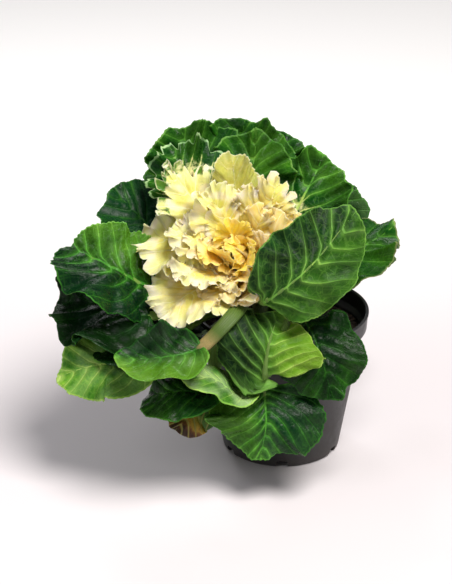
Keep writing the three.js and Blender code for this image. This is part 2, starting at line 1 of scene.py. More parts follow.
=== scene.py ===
"""Looks for the potted ornamental kale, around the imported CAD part.

Everything is in the row frame: +Z up, the pot's base centre at the origin, the rosette facing -Y.
The leaves follow the same midribs as the CAD leaves, so each one lies on the node that it replaces.
Lengths in the leaf code are millimetres and are turned into metres when a mesh is made.
"""
import math
import bpy
import bmesh
import numpy as np
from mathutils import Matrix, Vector


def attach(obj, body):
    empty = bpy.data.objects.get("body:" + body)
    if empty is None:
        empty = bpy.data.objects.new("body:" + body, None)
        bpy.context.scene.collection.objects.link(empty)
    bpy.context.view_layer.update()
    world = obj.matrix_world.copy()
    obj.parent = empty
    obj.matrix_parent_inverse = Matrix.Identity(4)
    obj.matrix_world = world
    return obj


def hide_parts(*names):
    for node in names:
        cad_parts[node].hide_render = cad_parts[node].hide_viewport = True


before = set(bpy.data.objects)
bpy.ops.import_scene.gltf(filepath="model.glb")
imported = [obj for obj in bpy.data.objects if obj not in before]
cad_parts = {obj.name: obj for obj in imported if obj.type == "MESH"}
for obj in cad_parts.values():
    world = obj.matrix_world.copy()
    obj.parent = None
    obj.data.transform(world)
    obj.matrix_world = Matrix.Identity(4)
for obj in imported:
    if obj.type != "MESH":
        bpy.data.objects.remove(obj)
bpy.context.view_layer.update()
MM = 0.001
RAD = math.pi / 180

# ------------------------------------------------------------------ the plant's layout
CROWN = np.array([-20.0, -9.0, 115.0])
AXIS = np.array([-0.27, -0.64, 0.72])
AXIS /= np.linalg.norm(AXIS)
SIDE = np.array([1.0, 0, 0]) - AXIS * AXIS[0]
SIDE /= np.linalg.norm(SIDE)
OVER = np.cross(AXIS, SIDE)
STEM_FOOT = np.array([-2.0, 9.0, 70.0])
STEM_BEND = CROWN - AXIS * 26


def stem_point(z):
    """point and direction of the stem, z measured from the crown along it"""
    if z >= 0:
        return CROWN + AXIS * z, AXIS
    run = np.linalg.norm(STEM_BEND - STEM_FOOT) + np.linalg.norm(CROWN - STEM_BEND)
    t = 1 + z / (run * 0.97)
    p = (1 - t) ** 2 * STEM_FOOT + 2 * t * (1 - t) * STEM_BEND + t * t * CROWN
    d = 2 * (1 - t) * (STEM_BEND - STEM_FOOT) + 2 * t * (CROWN - STEM_BEND)
    return p, d / np.linalg.norm(d)


def stem_radius(z):
    return float(np.interp(z, [-60, -30, 0, 20], [8.5, 8.0, 7.0, 3.0]))


def unit(v):
    v = np.array(v, float)
    return v / np.linalg.norm(v)


def step(x, lo, hi):
    t = np.clip((x - lo) / (hi - lo), 0, 1)
    return t * t * (3 - 2 * t)


def laid(name, z0, J, M, T, nJ, nT, hw=20, k=0.25, cup=0.0, curl=0, turn=0, via=None):
    """a leaf whose midrib runs from the stem through given points; nJ and nT are its upper side there"""
    J, M, T, nJ, nT = np.array(J, float), np.array(M, float), np.array(T, float), unit(nJ), unit(nT)
    p, ax = stem_point(z0)
    dr = J - p
    dr = unit(dr - ax * (dr @ ax))
    dr = dr * math.cos(turn * RAD) + np.cross(ax, dr) * math.sin(turn * RAD)
    base = p + dr * (stem_radius(z0) + 0.5)
    K = [base - dr * 24 - ax * 15, base] + ([np.array(via, float)] if via else []) + [J, M, T, 2 * T - M + curl * nT]
    pts = []
    for i in range(1, len(K) - 2):
        t = np.linspace(0, 1, 24, endpoint=False)[:, None]
        a, b, c, e = K[i - 1:i + 3]
        pts.append(.5 * (2 * b + (c - a) * t + (2 * a - 5 * b + 4 * c - e) * t * t + (3 * b - a - 3 * c + e) * t ** 3))
    fine = np.vstack(pts + [K[-2][None]])
    cum = np.concatenate([[0], np.cumsum(np.linalg.norm(np.diff(fine, axis=0), axis=1))])
    s = np.linspace(0, cum[-1], 65)
    P = np.stack([np.interp(s, cum, fine[:, i]) for i in range(3)], -1)
    Tn = np.gradient(P, axis=0)
    Tn /= np.linalg.norm(Tn, axis=1)[:, None]
    pet = cum[24 * (2 if via else 1)]
    nP = unit(ax * .8 + dr * .2)
    t, tj = s / cum[-1], pet / cum[-1]
    w0 = np.clip(1 - t / tj, 0, 1)[:, None]
    w2 = np.clip((t - tj) / (1 - tj), 0, 1)[:, None]
    N = nP * w0 + nJ * (1 - w0 - w2) + nT * w2
    N -= Tn * (N * Tn).sum(1)[:, None]
    N /= np.linalg.norm(N, axis=1)[:, None]
    return leaf(name, cum[-1], pet, hw, k, cup, (s, P, Tn, np.cross(N, Tn), N))


def arc(name, phi, z0, L, pet, hw, a0, a1, cup=0.0, roll=0, k=0.25):
    """a leaf of the rosette: it leaves the axis in direction phi, rising at a0 degrees and ending at a1"""
    s = np.linspace(0, L, 65)
    ds = s[1]
    er = SIDE * math.cos(phi * RAD) + OVER * math.sin(phi * RAD)
    et = -SIDE * math.sin(phi * RAD) + OVER * math.cos(phi * RAD)

    def heading(x):
        a = ((a0 + (a1 - a0) * x / L) * RAD)[:, None]
        return np.cos(a) * er + np.sin(a) * AXIS
    P0 = CROWN + AXIS * z0 + er * (stem_radius(z0) + .5)
    P = np.vstack([P0, P0 + np.cumsum(heading((s[:-1] + s[1:]) / 2) * ds, axis=0)])
    T = heading(s)
    B = np.tile(et, (65, 1))
    N = np.cross(T, B)
    r = (roll * RAD * s / L)[:, None]
    B2 = B * np.cos(r) + N * np.sin(r)
    return leaf(name, L, pet, hw, k, cup, (s, P, T, B2, np.cross(T, B2)))


LOOK = dict(ruf=4.0, n=5, frill=0.0, nf=22, lobe=1.0, teeth=1.0, lace=0.0, stalk=3.0, bul=1.0, hem=0.0,
            lum=0.0, yel=0.0, crm=0.0, vs=1.0, keel=1.0, painted_side_light=0.0, gl=0.0, old=0.0,
            base=(.93, .78, .34), rim=(.97, .88, .60), mid=None, gtip=0.0, pink=0.0, thick=1.0, rib_w=1.0, grow=1.0, bloom_and_sheen=0.0, wash=())
LEAVES = []


def leaf(name, L, pet, hw, k, cup, rib):
    d = dict(LOOK)
    d.update(name=name, L=L, pet=pet, hw=hw, k=k, cup=cup, rib=rib, seed=11 * len(LEAVES) + 3)
    d.update(LOOKS[name])
    LEAVES.append(d)
    return d


# what each leaf looks like; the shapes are in the table under it
# lum sets each leaf's tone; its lowest values, on leaf_outer_10 and leaf_low_08 low under the rosette, are painted
# shade among the crowded lower leaves
LOOKS = dict(
    leaf_outer_01=dict(ruf=4, stalk=2.6, lum=-.42, vs=1.9, painted_side_light=-.75, bloom_and_sheen=.02, teeth=1.8, lobe=1.2),
    leaf_outer_02=dict(ruf=3, lum=-.20, yel=.60, vs=1.6, painted_side_light=1.8, keel=.45, rib_w=.55, lobe=1.2),
    leaf_outer_03=dict(ruf=5, lum=-.20, pink=.7, teeth=1.6),
    leaf_outer_04=dict(ruf=5, lum=-.50, bloom_and_sheen=.08, lobe=1.3),
    leaf_outer_05=dict(ruf=6, lum=-.15, lobe=1.5, n=6),
    leaf_outer_06=dict(ruf=6, lum=-.45, lobe=1.4, n=6),
    leaf_outer_07=dict(ruf=6, lum=-.25, pink=-.12, lobe=1.6, teeth=1.8, n=6),
    leaf_outer_08=dict(ruf=4, lum=-.60, yel=-.4, vs=.6),
    leaf_outer_09=dict(ruf=6, lum=-.50, yel=.10, vs=2.3, painted_side_light=-.85, lobe=1.5, teeth=2.0, n=5),
    leaf_outer_10=dict(ruf=6, lum=-1.0, vs=.5, lobe=1.6, n=6),
    leaf_low_01=dict(ruf=3.5, n=4, grow=1.06, lum=-.50, yel=.25, vs=1.3, painted_side_light=1.10, bloom_and_sheen=.03, lobe=1.4, stalk=3.9, hem=.8),
    leaf_low_02=dict(ruf=3.0, n=5, grow=1.10, lum=.78, yel=-.30, vs=1.6, bloom_and_sheen=.10, lobe=.8, teeth=1.6),
    leaf_low_03=dict(ruf=4, n=4, lum=-.42),
    leaf_low_04=dict(ruf=2, n=4, lum=-.2, old=1),
    leaf_low_05=dict(ruf=4, lum=-.75, vs=.7, lobe=1.5),
    leaf_low_06=dict(ruf=5, lum=-.3, lobe=1.5),
    leaf_low_07=dict(ruf=5, lum=-.25, lobe=1.5),
    leaf_low_08=dict(ruf=2, grow=1.08, lum=-1.1, vs=.28, lobe=1.2),
    leaf_low_09=dict(ruf=2.5, n=4, lum=.45, yel=.05, grow=1.2, vs=1.9, bloom_and_sheen=.36),
    leaf_inner_01=dict(ruf=5, crm=.05, lum=-.52, yel=.10, vs=1.55, keel=.30, rib_w=.45, painted_side_light=.45, lobe=1.3),
    leaf_inner_02=dict(ruf=5, n=6, crm=.20, lum=-.22, vs=1.6, lobe=1.5),
    leaf_inner_03=dict(ruf=5, n=6, crm=.12, lum=-.05, yel=.1, vs=.9, pink=-.12, lobe=1.4),
    leaf_inner_04=dict(ruf=5, n=6, crm=.44, lum=-.25, pink=-.75, lobe=1.6, lace=1.1, teeth=2.4),
)
LIME, BLUSH, GOLD = (.70, .70, .10), (.96, .79, .58), (.94, .56, .05)
CREAM = dict(wash=((LIME, .50), (BLUSH, .68)), ruf=4.4, n=6, frill=2.3, nf=27, stalk=2.2, lobe=2.2, teeth=2.6)
TINTS = dict(
    leaf_cream_a=[((.84, .52, .10), (.92, .66, .22)), ((.66, .50, .09), (.92, .83, .42)), ((.30, .32, .06), (.46, .43, .13)),
                  ((.68, .63, .13), (.88, .81, .34)), ((.90, .48, .10), (.94, .64, .22)), ((.60, .58, .12), (.85, .80, .34)),
                  ((.80, .62, .14), (.88, .72, .27))],
    leaf_cream_b=[((.94, .56, .12), (.97, .76, .34)), ((.86, .54, .10), (.93, .70, .26)), ((.70, .66, .13), (.86, .80, .30)),
                  ((.78, .66, .17), (.94, .86, .46)), ((.82, .54, .12), (.92, .73, .38)), ((.84, .64, .14), (.92, .76, .31)),
                  ((.70, .65, .18), (.90, .80, .42))],
    leaf_cream_c=[((.94, .62, .12), (.97, .80, .36)), ((.94, .52, .09), (.97, .70, .26)), ((.82, .50, .11), (.90, .66, .28)),
                  ((.80, .52, .08), (.90, .68, .20)), ((.72, .58, .08), (.88, .74, .22)), ((.74, .60, .10), (.90, .77, .34))],
    leaf_heart=[((.93, .50, .06), (.97, .70, .20)), ((.93, .56, .02), (.97, .72, .08)), ((.92, .60, .03), (.96, .76, .10))] * 2,
)
MORE = dict(
    leaf_cream_a_04=dict(gtip=.22, lobe=1.2, grow=1.08, lace=.6), leaf_cream_a_06=dict(gtip=.55, lace=1.5, teeth=2.6, lobe=2.4),
    leaf_cream_a_07=dict(lace=1.0, teeth=2.6, lobe=2.2), leaf_cream_a_01=dict(frill=2.2, wash=((LIME, .30), (GOLD, .30))), leaf_cream_b_02=dict(wash=((BLUSH, .30), (GOLD, .30))),
    leaf_cream_a_03=dict(lobe=1.0, frill=1.2, pink=.95, wash=((LIME, .45), (GOLD, .12))),
    leaf_cream_a_05=dict(wash=((GOLD, .35), (LIME, .25))), leaf_cream_b_01=dict(wash=((GOLD, .40), (LIME, .20))), leaf_heart_06=dict(grow=1.35), leaf_heart_05=dict(grow=1.22), leaf_heart_04=dict(grow=1.10), leaf_cream_a_02=dict(frill=1.8, lobe=1.5),
)
for _g, _rows in TINTS.items():
    for _i, (_b, _r) in enumerate(_rows):
        _d = dict(CREAM, base=_b, rim=_r)
        if _g == "leaf_cream_b":
            _d.update(stalk=1.8, nf=25, ruf=4.2)
        if _g == "leaf_cream_c":
            _d.update(stalk=1.4, nf=21, ruf=3.2, frill=1.8, wash=((LIME, .40), (BLUSH, .60), (GOLD, .25)))
        if _g == "leaf_heart":
            _d.update(stalk=1.1, nf=17, n=5, ruf=2.6, frill=1.5, wash=((GOLD, .6), (BLUSH, .3)))
        _n = "%s_%02d" % (_g, _i + 1)
        _d.update(MORE.get(_n, {}))
        LOOKS[_n] = _d

# outer, lower and inner green leaves, then the cream rosette and its golden heart
# table
laid("leaf_outer_01", -29.4, [-11.7, -62, 66.7], [-10.7, -76.1, 51], [-13.9, -78.5, 30.6], [0, -0.52, 0.85], [0, -0.96, 0.27], hw=35, k=0.55, cup=-0.006, turn=16, via=[-12.1, -53.3, 99.6])
laid("leaf_outer_02", -19.9, [-11.1, -70.5, 78.2], [-9.6, -71.8, 98.8], [-3.8, -54.5, 110.5], [0.05, 0.87, -0.5], [0.1, 0.99, -0.13], hw=33, k=0.22, cup=0.012, curl=-8, turn=27, via=[0.3, -53.5, 105.9])
laid("leaf_outer_03", -22.5, [10, -8, 117], [38.2, -9.1, 130.2], [66.9, -2.5, 142], [-0.1, -0.22, 0.97], [-0.1, -0.36, 0.93], hw=29, k=0.25, cup=0.006)
laid("leaf_outer_04", -14, [0.3, 16, 121.4], [22.6, 25.1, 139.9], [43.1, 31.6, 157.6], [-0.41, -0.66, 0.63], [-0.31, -0.76, 0.57], hw=34, k=0.25, cup=0.006, turn=-2)
laid("leaf_outer_05", -15.1, [-26.3, 17.9, 144.6], [-25, 36.6, 168.6], [-23.7, 45.1, 195.5], [0, -0.87, 0.5], [0, -0.93, 0.36], hw=36, k=0.25, cup=0.006, turn=-2)
laid("leaf_outer_06", -10.5, [-16.9, 20.8, 141.7], [-6.4, 40.2, 161.7], [3.1, 48.1, 184.6], [-0.1, -0.86, 0.49], [-0.2, -0.9, 0.4], hw=33, k=0.25, cup=0.008, turn=-11)
laid("leaf_outer_07", -12, [-44.1, 14.5, 152.4], [-52.7, 30.2, 170.6], [-61.5, 36.3, 193.8], [0.2, -0.85, 0.49], [0.1, -0.91, 0.4], hw=33, k=0.25, cup=0.006, turn=6)
laid("leaf_outer_08", -17.7, [-69.4, 3.5, 132.3], [-85.8, 14, 143.6], [-102, 22, 157.7], [0.35, -0.61, 0.71], [0.3, -0.53, 0.79], hw=31, k=0.25, cup=0.004, turn=-11)
laid("leaf_outer_09", -7.3, [-72.2, -25, 114.3], [-99.9, -32.6, 130.9], [-129.3, -14.8, 139.5], [0.1, -0.58, 0.81], [0.1, -0.47, 0.87], hw=31, k=0.25, cup=0.008, turn=-2)
laid("leaf_outer_10", -17.3, [-78.9, -40.5, 103.9], [-104.8, -29.3, 104.8], [-133.9, -19.1, 108.1], [0.1, -0.52, 0.85], [0.21, -0.55, 0.81], hw=36, k=0.25, cup=0.006, turn=-2)
laid("leaf_low_01", -2.5, [-49.1, -75.1, 99.6], [-69.3, -80.4, 95.8], [-92.5, -73.3, 90.4], [0, -0.54, 0.84], [0.1, -0.48, 0.87], hw=18, k=0.25, cup=0.01, turn=4, via=[-28.1, -57.2, 113.8])
laid("leaf_low_02", -31.5, [-83.4, -53.7, 78.3], [-105.4, -55.9, 79.5], [-129.7, -53.3, 71.8], [0.1, -0.63, 0.77], [0.1, -0.74, 0.66], hw=20, k=0.25, cup=0.004, turn=-13, via=[-47, -24.9, 96.6])
laid("leaf_low_03", -35.3, [-43.8, -64.1, 69.4], [-61.9, -66.7, 67.2], [-82.8, -58.6, 58.6], [0, -0.29, 0.96], [0, -0.56, 0.83], hw=20, k=0.25, cup=0, turn=-19, via=[-37.6, -41.8, 97.5])
laid("leaf_low_04", -28.7, [-43.9, -59.5, 59], [-53.7, -61.3, 50.2], [-63.7, -69.7, 42.9], [0.11, -0.56, 0.82], [0.1, -0.73, 0.67], hw=14, k=0.25, cup=-0.01, turn=19, via=[-34.5, -43.8, 94])
laid("leaf_low_05", -26, [12, -43.9, 100.9], [21, -59.2, 86.5], [27, -69.2, 63.4], [0, -0.51, 0.86], [0.1, -0.86, 0.5], hw=26, k=0.25, cup=0)
laid("leaf_low_06", -34, [30, 34, 101], [45, 58, 101], [58, 84, 86], [-0.1, -0.1, 0.99], [0.21, 0.31, 0.93], hw=26, k=0.25, cup=0.004)
laid("leaf_low_07", -34, [-24, 46, 102], [-38, 72, 102], [-50, 98, 86], [0, -0.2, 0.98], [-0.21, 0.31, 0.93], hw=27, k=0.25, cup=0.004)
laid("leaf_low_08", -16, [-44.9, -26.9, 86.7], [-83.1, -36.1, 90.6], [-114.8, -36, 91], [0.05, -0.29, 0.96], [0.1, -0.36, 0.93], hw=31, k=0.25, cup=0.004)
laid("leaf_low_09", -22.6, [-23.2, -68.5, 68], [-41.3, -74.7, 79.4], [-60.8, -72.1, 82.8], [0.11, -0.14, 0.98], [0, -0.14, 0.99], hw=13, k=0.25, cup=0, turn=22, via=[-15.9, -50, 103.1])
laid("leaf_inner_01", -7.4, [-10.9, -63.3, 123.7], [14.3, -62, 144.8], [39.5, -34, 165.6], [0.15, 0.98, -0.11], [0.25, 0.96, -0.1], hw=27, k=0.5, cup=0.013, turn=10)
laid("leaf_inner_02", -4, [-5.3, -3.4, 129.7], [11, 15.7, 152.9], [25.5, 29, 177.8], [-0.34, -0.81, 0.47], [-0.2, -0.9, 0.4], hw=30, k=0.25, cup=0.01)
laid("leaf_inner_03", -4, [-23.8, 3, 148.9], [-18.7, 18.9, 169.8], [-13.7, 26.9, 192.9], [0, -0.87, 0.5], [-0.1, -0.81, 0.58], hw=27, k=0.25, cup=0.01)
laid("leaf_inner_04", 0.1, [-44, -4, 153.6], [-55.8, 9.8, 169.7], [-67.5, 17.7, 189.1], [0.2, -0.85, 0.49], [0.1, -0.86, 0.49], hw=27, k=0.25, cup=0.01, turn=-13)
arc("leaf_cream_a_01", 18, 3.4, 49, 16, 22, 58, 18, 0.012, 20)
arc("leaf_cream_a_02", 219, 3.8, 65, 16, 29, 68, -5, 0.012, 20)
arc("leaf_cream_a_03", 86, 4.2, 70, 16, 16, 60, 30, 0.012, 20)
arc("leaf_cream_a_04", 161, 4.6, 64, 16, 25, 56, 4, 0.012, 20)
arc("leaf_cream_a_05", 298, 5, 46, 16, 17, 58, 48, 0.012, 20)
arc("leaf_cream_a_06", 124, 5.4, 74, 16, 24, 58, 20, 0.012, 20)
arc("leaf_cream_a_07", 48, 5.8, 61, 16, 20, 60, 34, 0.012, 20)
arc("leaf_cream_b_01", 262, 8, 42, 12, 19, 68, 30, 0.016, 20)
arc("leaf_cream_b_02", 4.9, 8.5, 52, 12, 19, 68, 24, 0.016, 20)
arc("leaf_cream_b_03", 107.7, 9, 54, 12, 19, 68, 38, 0.016, 20)
arc("leaf_cream_b_04", 210.6, 9.5, 50, 12, 19, 68, 36, 0.016, 20)
arc("leaf_cream_b_05", 313.4, 10, 48, 12, 19, 68, 22, 0.016, 20)
arc("leaf_cream_b_06", 56.3, 10.5, 48, 12, 19, 68, 22, 0.016, 20)
arc("leaf_cream_b_07", 159.1, 11, 50, 12, 19, 68, 26, 0.016, 20)
arc("leaf_cream_c_01", 222, 12, 39, 9, 14.5, 72, 30, 0.022, 20)
arc("leaf_cream_c_02", 282, 12.4, 38, 9, 14.5, 72, 40, 0.022, 20)
arc("leaf_cream_c_03", 342, 12.8, 40, 9, 14.5, 72, 34, 0.022, 20)
arc("leaf_cream_c_04", 42, 13.2, 41, 9, 14.5, 72, 30, 0.022, 20)
arc("leaf_cream_c_05", 102, 13.6, 40, 9, 14.5, 72, 28, 0.022, 20)
arc("leaf_cream_c_06", 162, 14, 40, 9, 14.5, 72, 34, 0.022, 20)
arc("leaf_heart_01", 190, 15.5, 35, 6, 12, 78, 54, 0.032, 20)
arc("leaf_heart_02", 320.2, 15.8, 34, 6, 12, 78, 58, 0.032, 20)
arc("leaf_heart_03", 90.4, 16.1, 33, 6, 12, 78, 66, 0.032, 20)
arc("leaf_heart_04", 220.6, 16.4, 30, 6, 11.5, 78, 94, 0.032, 20)
arc("leaf_heart_05", 350.8, 16.7, 27, 6, 10.5, 78, 124, 0.032, 20)
arc("leaf_heart_06", 121, 17, 22, 6, 8, 78, 116, 0.032, 20)
# end of table


# ------------------------------------------------------------------ leaf blades
def along(l, x):
    s, P, T, B, N = l["rib"]
    xc = np.clip(x, s[0], s[-1])

    def at(V):
        return np.stack([np.interp(xc, s, V[:, i]) for i in range(3)], -1)
    Tx = at(T)
    return at(P) + Tx * (x - xc)[..., None], Tx, at(B), at(N)


def surface(l, X, Y, H):
    """point of the blade at X along the midrib past the junction, Y across it and H above it"""
    M, T, B, N = along(l, l["pet"] + X)
    c = l["cup"]
    yy, hh = (np.sin(c * Y) / c, (1 - np.cos(c * Y)) / c) if abs(c) > 1e-6 else (Y, 0 * Y)
    return M + B * yy[..., None] + N * (hh + H)[..., None]


def outline(l):
    """closed outline from one side of the junction round the tip to the other, as 600 even points"""
    k, Lb = l["k"], l["L"] - l["pet"]
    th = np.linspace(-math.acos(-k), math.acos(-k), 1801)
    R = Lb * (np.cos(th) + k) / (1 + k)
    x, y = R * np.cos(th), R * np.sin(th)
    y = y * l["hw"] / y.max()
    d = np.concatenate([[0], np.cumsum(np.hypot(np.diff(x), np.diff(y)))])
    t = (np.arange(600) + .5) / 600 * d[-1]
    return np.interp(t, d, x), np.interp(t, d, y), d[-1]


def vein_index(l, X, Y):
    """which side vein passes through (X, Y), as a number that runs on between veins"""
    Lb, aY, nv = l["L"] - l["pet"], np.abs(Y), 6.0
    lo, hi = np.full(X.shape, -4.0), np.full(X.shape, nv + 8.0)
    for _ in range(26):
        q = (lo + hi) / 2
        x0 = np.where(q > 0, (np.clip(q, 0, None) / nv) ** 1.25 * Lb * .84, 0.0)
        b = np.where(q > 0, 70 - 32 * np.clip(q / nv, 0, 1.6) ** .7, 70 - q * 27)
        b = np.clip(b, 22, 168) * RAD
        v = X - x0 - aY * np.cos(b) / np.sin(b) - (.0042 * 60 / Lb) * aY ** 2 * np.sign(np.cos(b) + .3)
        lo, hi = np.where(v > 0, q, lo), np.where(v > 0, hi, q)
    return (lo + hi) / 2


def waves(a, b, rnd, scale, n=6):
    """smooth noise, about -1 to 1, of feature size scale"""
    out = 0
    for _ in range(n):
        t, f, p = rnd.uniform(0, 2 * np.pi), rnd.uniform(.6, 1.5) / scale, rnd.uniform(0, 2 * np.pi)
        out = out + np.sin(2 * np.pi * f * (a * math.cos(t) + b * math.sin(t)) + p)
    return out / n * 1.5


def blade(l, h, hm):
    """rings of points round the middle of the blade, joined by zips, as one closed skin with both sides"""
    rnd = np.random.RandomState(l["seed"])
    Lb = l["L"] - l["pet"]
    size = Lb / 75.0
    ox, oy, per = outline(l)
    qx = Lb * .46
    nm = max(24, int(per / hm))
    nr = max(5, int(np.mean(np.hypot(ox - qx, oy)) / h))
    uu, tt, rings = [0.0], [0.0], [[0]]
    for k in range(1, nr + 1):
        n = max(6, int(round(nm * k / nr))) if k < nr else nm
        rings.append(list(range(len(uu), len(uu) + n)))
        uu += [k / nr] * n
        tt += [(j + .5 + .5 * (k % 2) * (k < nr)) / n % 1.0 for j in range(n)]
    u, tau = np.array(uu), np.array(tt)
    ot = np.concatenate([[-.5 / 600], (np.arange(600) + .5) / 600, [600.5 / 600]])
    bx = np.interp(tau, ot, np.concatenate([[ox[-1]], ox, [ox[0]]]))
    by = np.interp(tau, ot, np.concatenate([[oy[-1]], oy, [oy[0]]]))
    ph = rnd.uniform(0, 2 * np.pi, 14)
    base = step(np.minimum(tau, 1 - tau), 0, .10)
    w = 2 * np.pi * tau
    n, nf = l["n"], l["nf"]
    wn = n * w + ph[4] + 1.1 * np.sin(2 * w + ph[5]) + .5 * np.sin(3 * w + ph[8])
    wf = nf * w + ph[7] + 3.0 * np.sin(3 * w + ph[1]) + 1.6 * np.sin(7 * w + ph[9])
    amp = .75 + .45 * np.sin(2 * w + ph[10]) * np.sin(3 * w + ph[11])
    # margin: broad lobes, small teeth, and narrow gaps where the leaf is lacy
    lob = .030 * np.sin(wn + .6) + .020 * np.sin((n + 4) * w + ph[1]) + .014 * np.sin((2 * n + 3) * w + ph[2])
    saw = (wf / (2 * np.pi)) % 1.0
    teeth = .020 * (1 - np.abs(2 * saw - 1) ** 1.6 - .5) * (.6 + .4 * np.sin(5 * w + ph[3])) + .006 * np.sin(61 * w + ph[12])
    gap = -.17 * l["lace"] * np.clip(np.sin(.5 * (nf * .62 * w + ph[6] + 1.4 * np.sin(4 * w + ph[3]))) ** 2 - .72, 0, 1) / .28
    m = 1 + base * (lob * l["lobe"] * u ** 2 + teeth * l["teeth"] * u ** 7 + gap * u ** 4)
    m = m * (1 + (l["grow"] - 1) * u)
    X, Y = qx + (bx - qx) * u * m, by * u * m
    edge = (1 - u) * np.hypot(bx - qx, by)
    q = vein_index(l, X, Y)
    e = .3
    grad = np.hypot((vein_index(l, X + e, Y) - q) / e, (vein_index(l, X, np.abs(Y) + e) - q) / e)
    vg = 1 / np.clip(grad, .02, None)
    q = q + .35 * np.clip(Y / 3, -1, 1) + .16 * waves(X, Y, rnd, 38)
    t = np.clip(np.abs(Y) / l["hw"], 0, 1.4)
    d = np.abs((q + .5) % 1 - .5) * vg
    # relief
    fade = np.clip(edge / 6, 0, 1)
    big = l["ruf"] * amp * u ** 2.2 * base * (np.sin(wn) + .40 * np.sin((2 * n - 1) * w + ph[6]) + .22 * np.sin((3 * n + 2) * w + ph[13]))
    curl = .55 + .75 * np.abs(np.sin(2.5 * w + ph[11]) * np.sin(4 * w + ph[6]))
    frill = l["frill"] * curl * np.clip((u - .62) / .38, 0, 1) ** 1.5 * base * np.sin(wf)
    rib = 1.2 * size * np.exp(-(Y / (2.6 * size)) ** 2) * np.clip((Lb - X) / Lb, 0, 1)
    side_rib = .55 * size * np.exp(-(d / (1.3 * size)) ** 2) * fade * (1 - .5 * np.clip(t, 0, 1))
    puff = l["bul"] * size * (.95 * (1 - np.exp(-(d / (4.5 * size)) ** 2)) * fade + .35 * waves(X, Y, rnd, 9 * size, 9) * fade)
    soft = 1.6 * size * waves(X, Y, rnd, 42 * size, 4) * u
    hem = l["hem"] * 5.0 * np.clip((u - .72) / .28, 0, 1) ** 1.6 * base
    H = big + frill - rib - side_rib + puff + soft + hem
    swing = base * (l["ruf"] * .42 * amp * u ** 3 * np.cos(wn) + l["frill"] * .75 * curl * np.clip((u - .66) / .34, 0, 1) ** 1.5 * np.cos(wf))
    tx, ty = -by, bx - qx
    tn = np.hypot(tx, ty) + 1e-6
    Xs, Ys = X + swing * tx / tn, Y + swing * ty / tn
    th = l["thick"] * (.42 + .55 * np.clip(edge / 7, 0, 1)) * (.75 + .25 * size)
    under = .75 * rib + .9 * side_rib
    top = surface(l, Xs, Ys, H + th / 2)
    low = surface(l, Xs, Ys, H - th / 2 - under)
    # one rim row, drawn out a little, rounds the margin
    r = rings[-1]
    out = 1 + .25 / np.maximum(np.hypot(bx[r] - qx, by[r]), 1)
    rim = surface(l, qx + (Xs[r] - qx) * out, Ys[r] * out, H[r])
    tris = [(0, rings[1][j], rings[1][(j + 1) % len(rings[1])]) for j in range(len(rings[1]))]
    for k in range(1, nr):
        a, b = rings[k], rings[k + 1]
        na, nb, i, j = len(a), len(b), 0, 0
        oa, ob = (.5 + .5 * (k % 2)) / na, (.5 + .5 * ((k + 1) % 2) * (k + 1 < nr)) / nb
        while i < na or j < nb:
            if (j < nb and (j + 1) / nb + ob <= (i + 1) / na + oa) or i >= na:
                tris.append((a[i % na], b[j % nb], b[(j + 1) % nb]))
                j += 1
            else:
                tris.append((a[i % na], b[j % nb], a[(i + 1) % na]))
                i += 1
    tris = np.array(tris)
    ids = [tris[:, i] for i in range(3)]
    cr = (X[ids[1]] - X[ids[0]]) * (Y[ids[2]] - Y[ids[0]]) - (Y[ids[1]] - Y[ids[0]]) * (X[ids[2]] - X[ids[0]])
    tris[cr < 0] = tris[cr < 0][:, ::-1]
    n0, nn = len(u), len(r)
    verts = np.concatenate([top, low, rim])
    faces = [tris, tris[:, ::-1] + n0]
    ccw = np.sum(X[r] * np.roll(Y[r], -1) - np.roll(X[r], -1) * Y[r]) > 0
    A = np.array(r)
    B = np.roll(A, -1)
    Rm = 2 * n0 + np.arange(nn)
    Rn = np.roll(Rm, -1)
    for f in ([A, Rm, B], [B, Rm, Rn], [Rm, A + n0, Rn], [Rn, A + n0, B + n0]):
        f = np.stack(f, 1)
        faces.append(f if ccw else f[:, ::-1])
    rr = np.array(r)

    def both(v):
        return np.concatenate([v, v, v[rr]])
    at = dict(
        va=np.stack([both(q), both(vg), both(t)], 1),
        vb=np.stack([both(np.abs(Y)), both((1.5 * np.clip(1 - X / Lb, 0, 1.3) + .25) * max(size, .45) * l["rib_w"]), both(edge)], 1),
        lco=np.stack([both(X), both(Y), np.full(2 * n0 + nn, l["seed"] * 3.7)], 1),
        vd=np.stack([both(u), np.concatenate([np.ones(n0), -np.ones(n0), np.zeros(nn)]), both(np.full(n0, l["vs"]))], 1),
    )
    # painted light and shade: across the midrib one half of the blade is made lighter and yellower and the other
    # darker, as if lit from one side
    side_shade = l["painted_side_light"] * np.tanh(2.6 * Y / l["hw"])
    # the ruffle term lightens the crests and darkens the troughs of the blade: painted light and shade
    lum = l["lum"] + .16 * waves(X, Y, rnd, 34, 5) + .60 * side_shade + .16 * np.clip(big / max(l["ruf"], 1), -1, 1)
    yel = l["yel"] + .15 * waves(X, Y, rnd, 40, 4) + .10 * u + .45 * side_shade
    crm = l["crm"] * 1.35 - .80 * u - .35 * np.clip(X / Lb, 0, 1) + .25 if l["crm"] > 0 else np.full(n0, -1.0)
    at["vc"] = np.stack([both(lum), both(yel), both(crm)], 1)
    c0, c1 = np.array(l["base"]), np.array(l["rim"])
    f = np.clip(step(u, .25, 1.0) + .22 * waves(X, Y, rnd, 14, 5), 0, 1)[:, None]
    tint = c0 * (1 - f) + c1 * f
    tint = tint * (1 + .07 * waves(X, Y, rnd, 9, 5))[:, None]
    for k, (hue, much) in enumerate(l["wash"]):
        f = much * step(waves(X, Y, rnd, 15 - 3 * k, 5), -.1, .75)[:, None]
        tint = tint * (1 - f) + np.array(hue) * f
    at["tint"] = np.clip(both(tint), 0, 1)
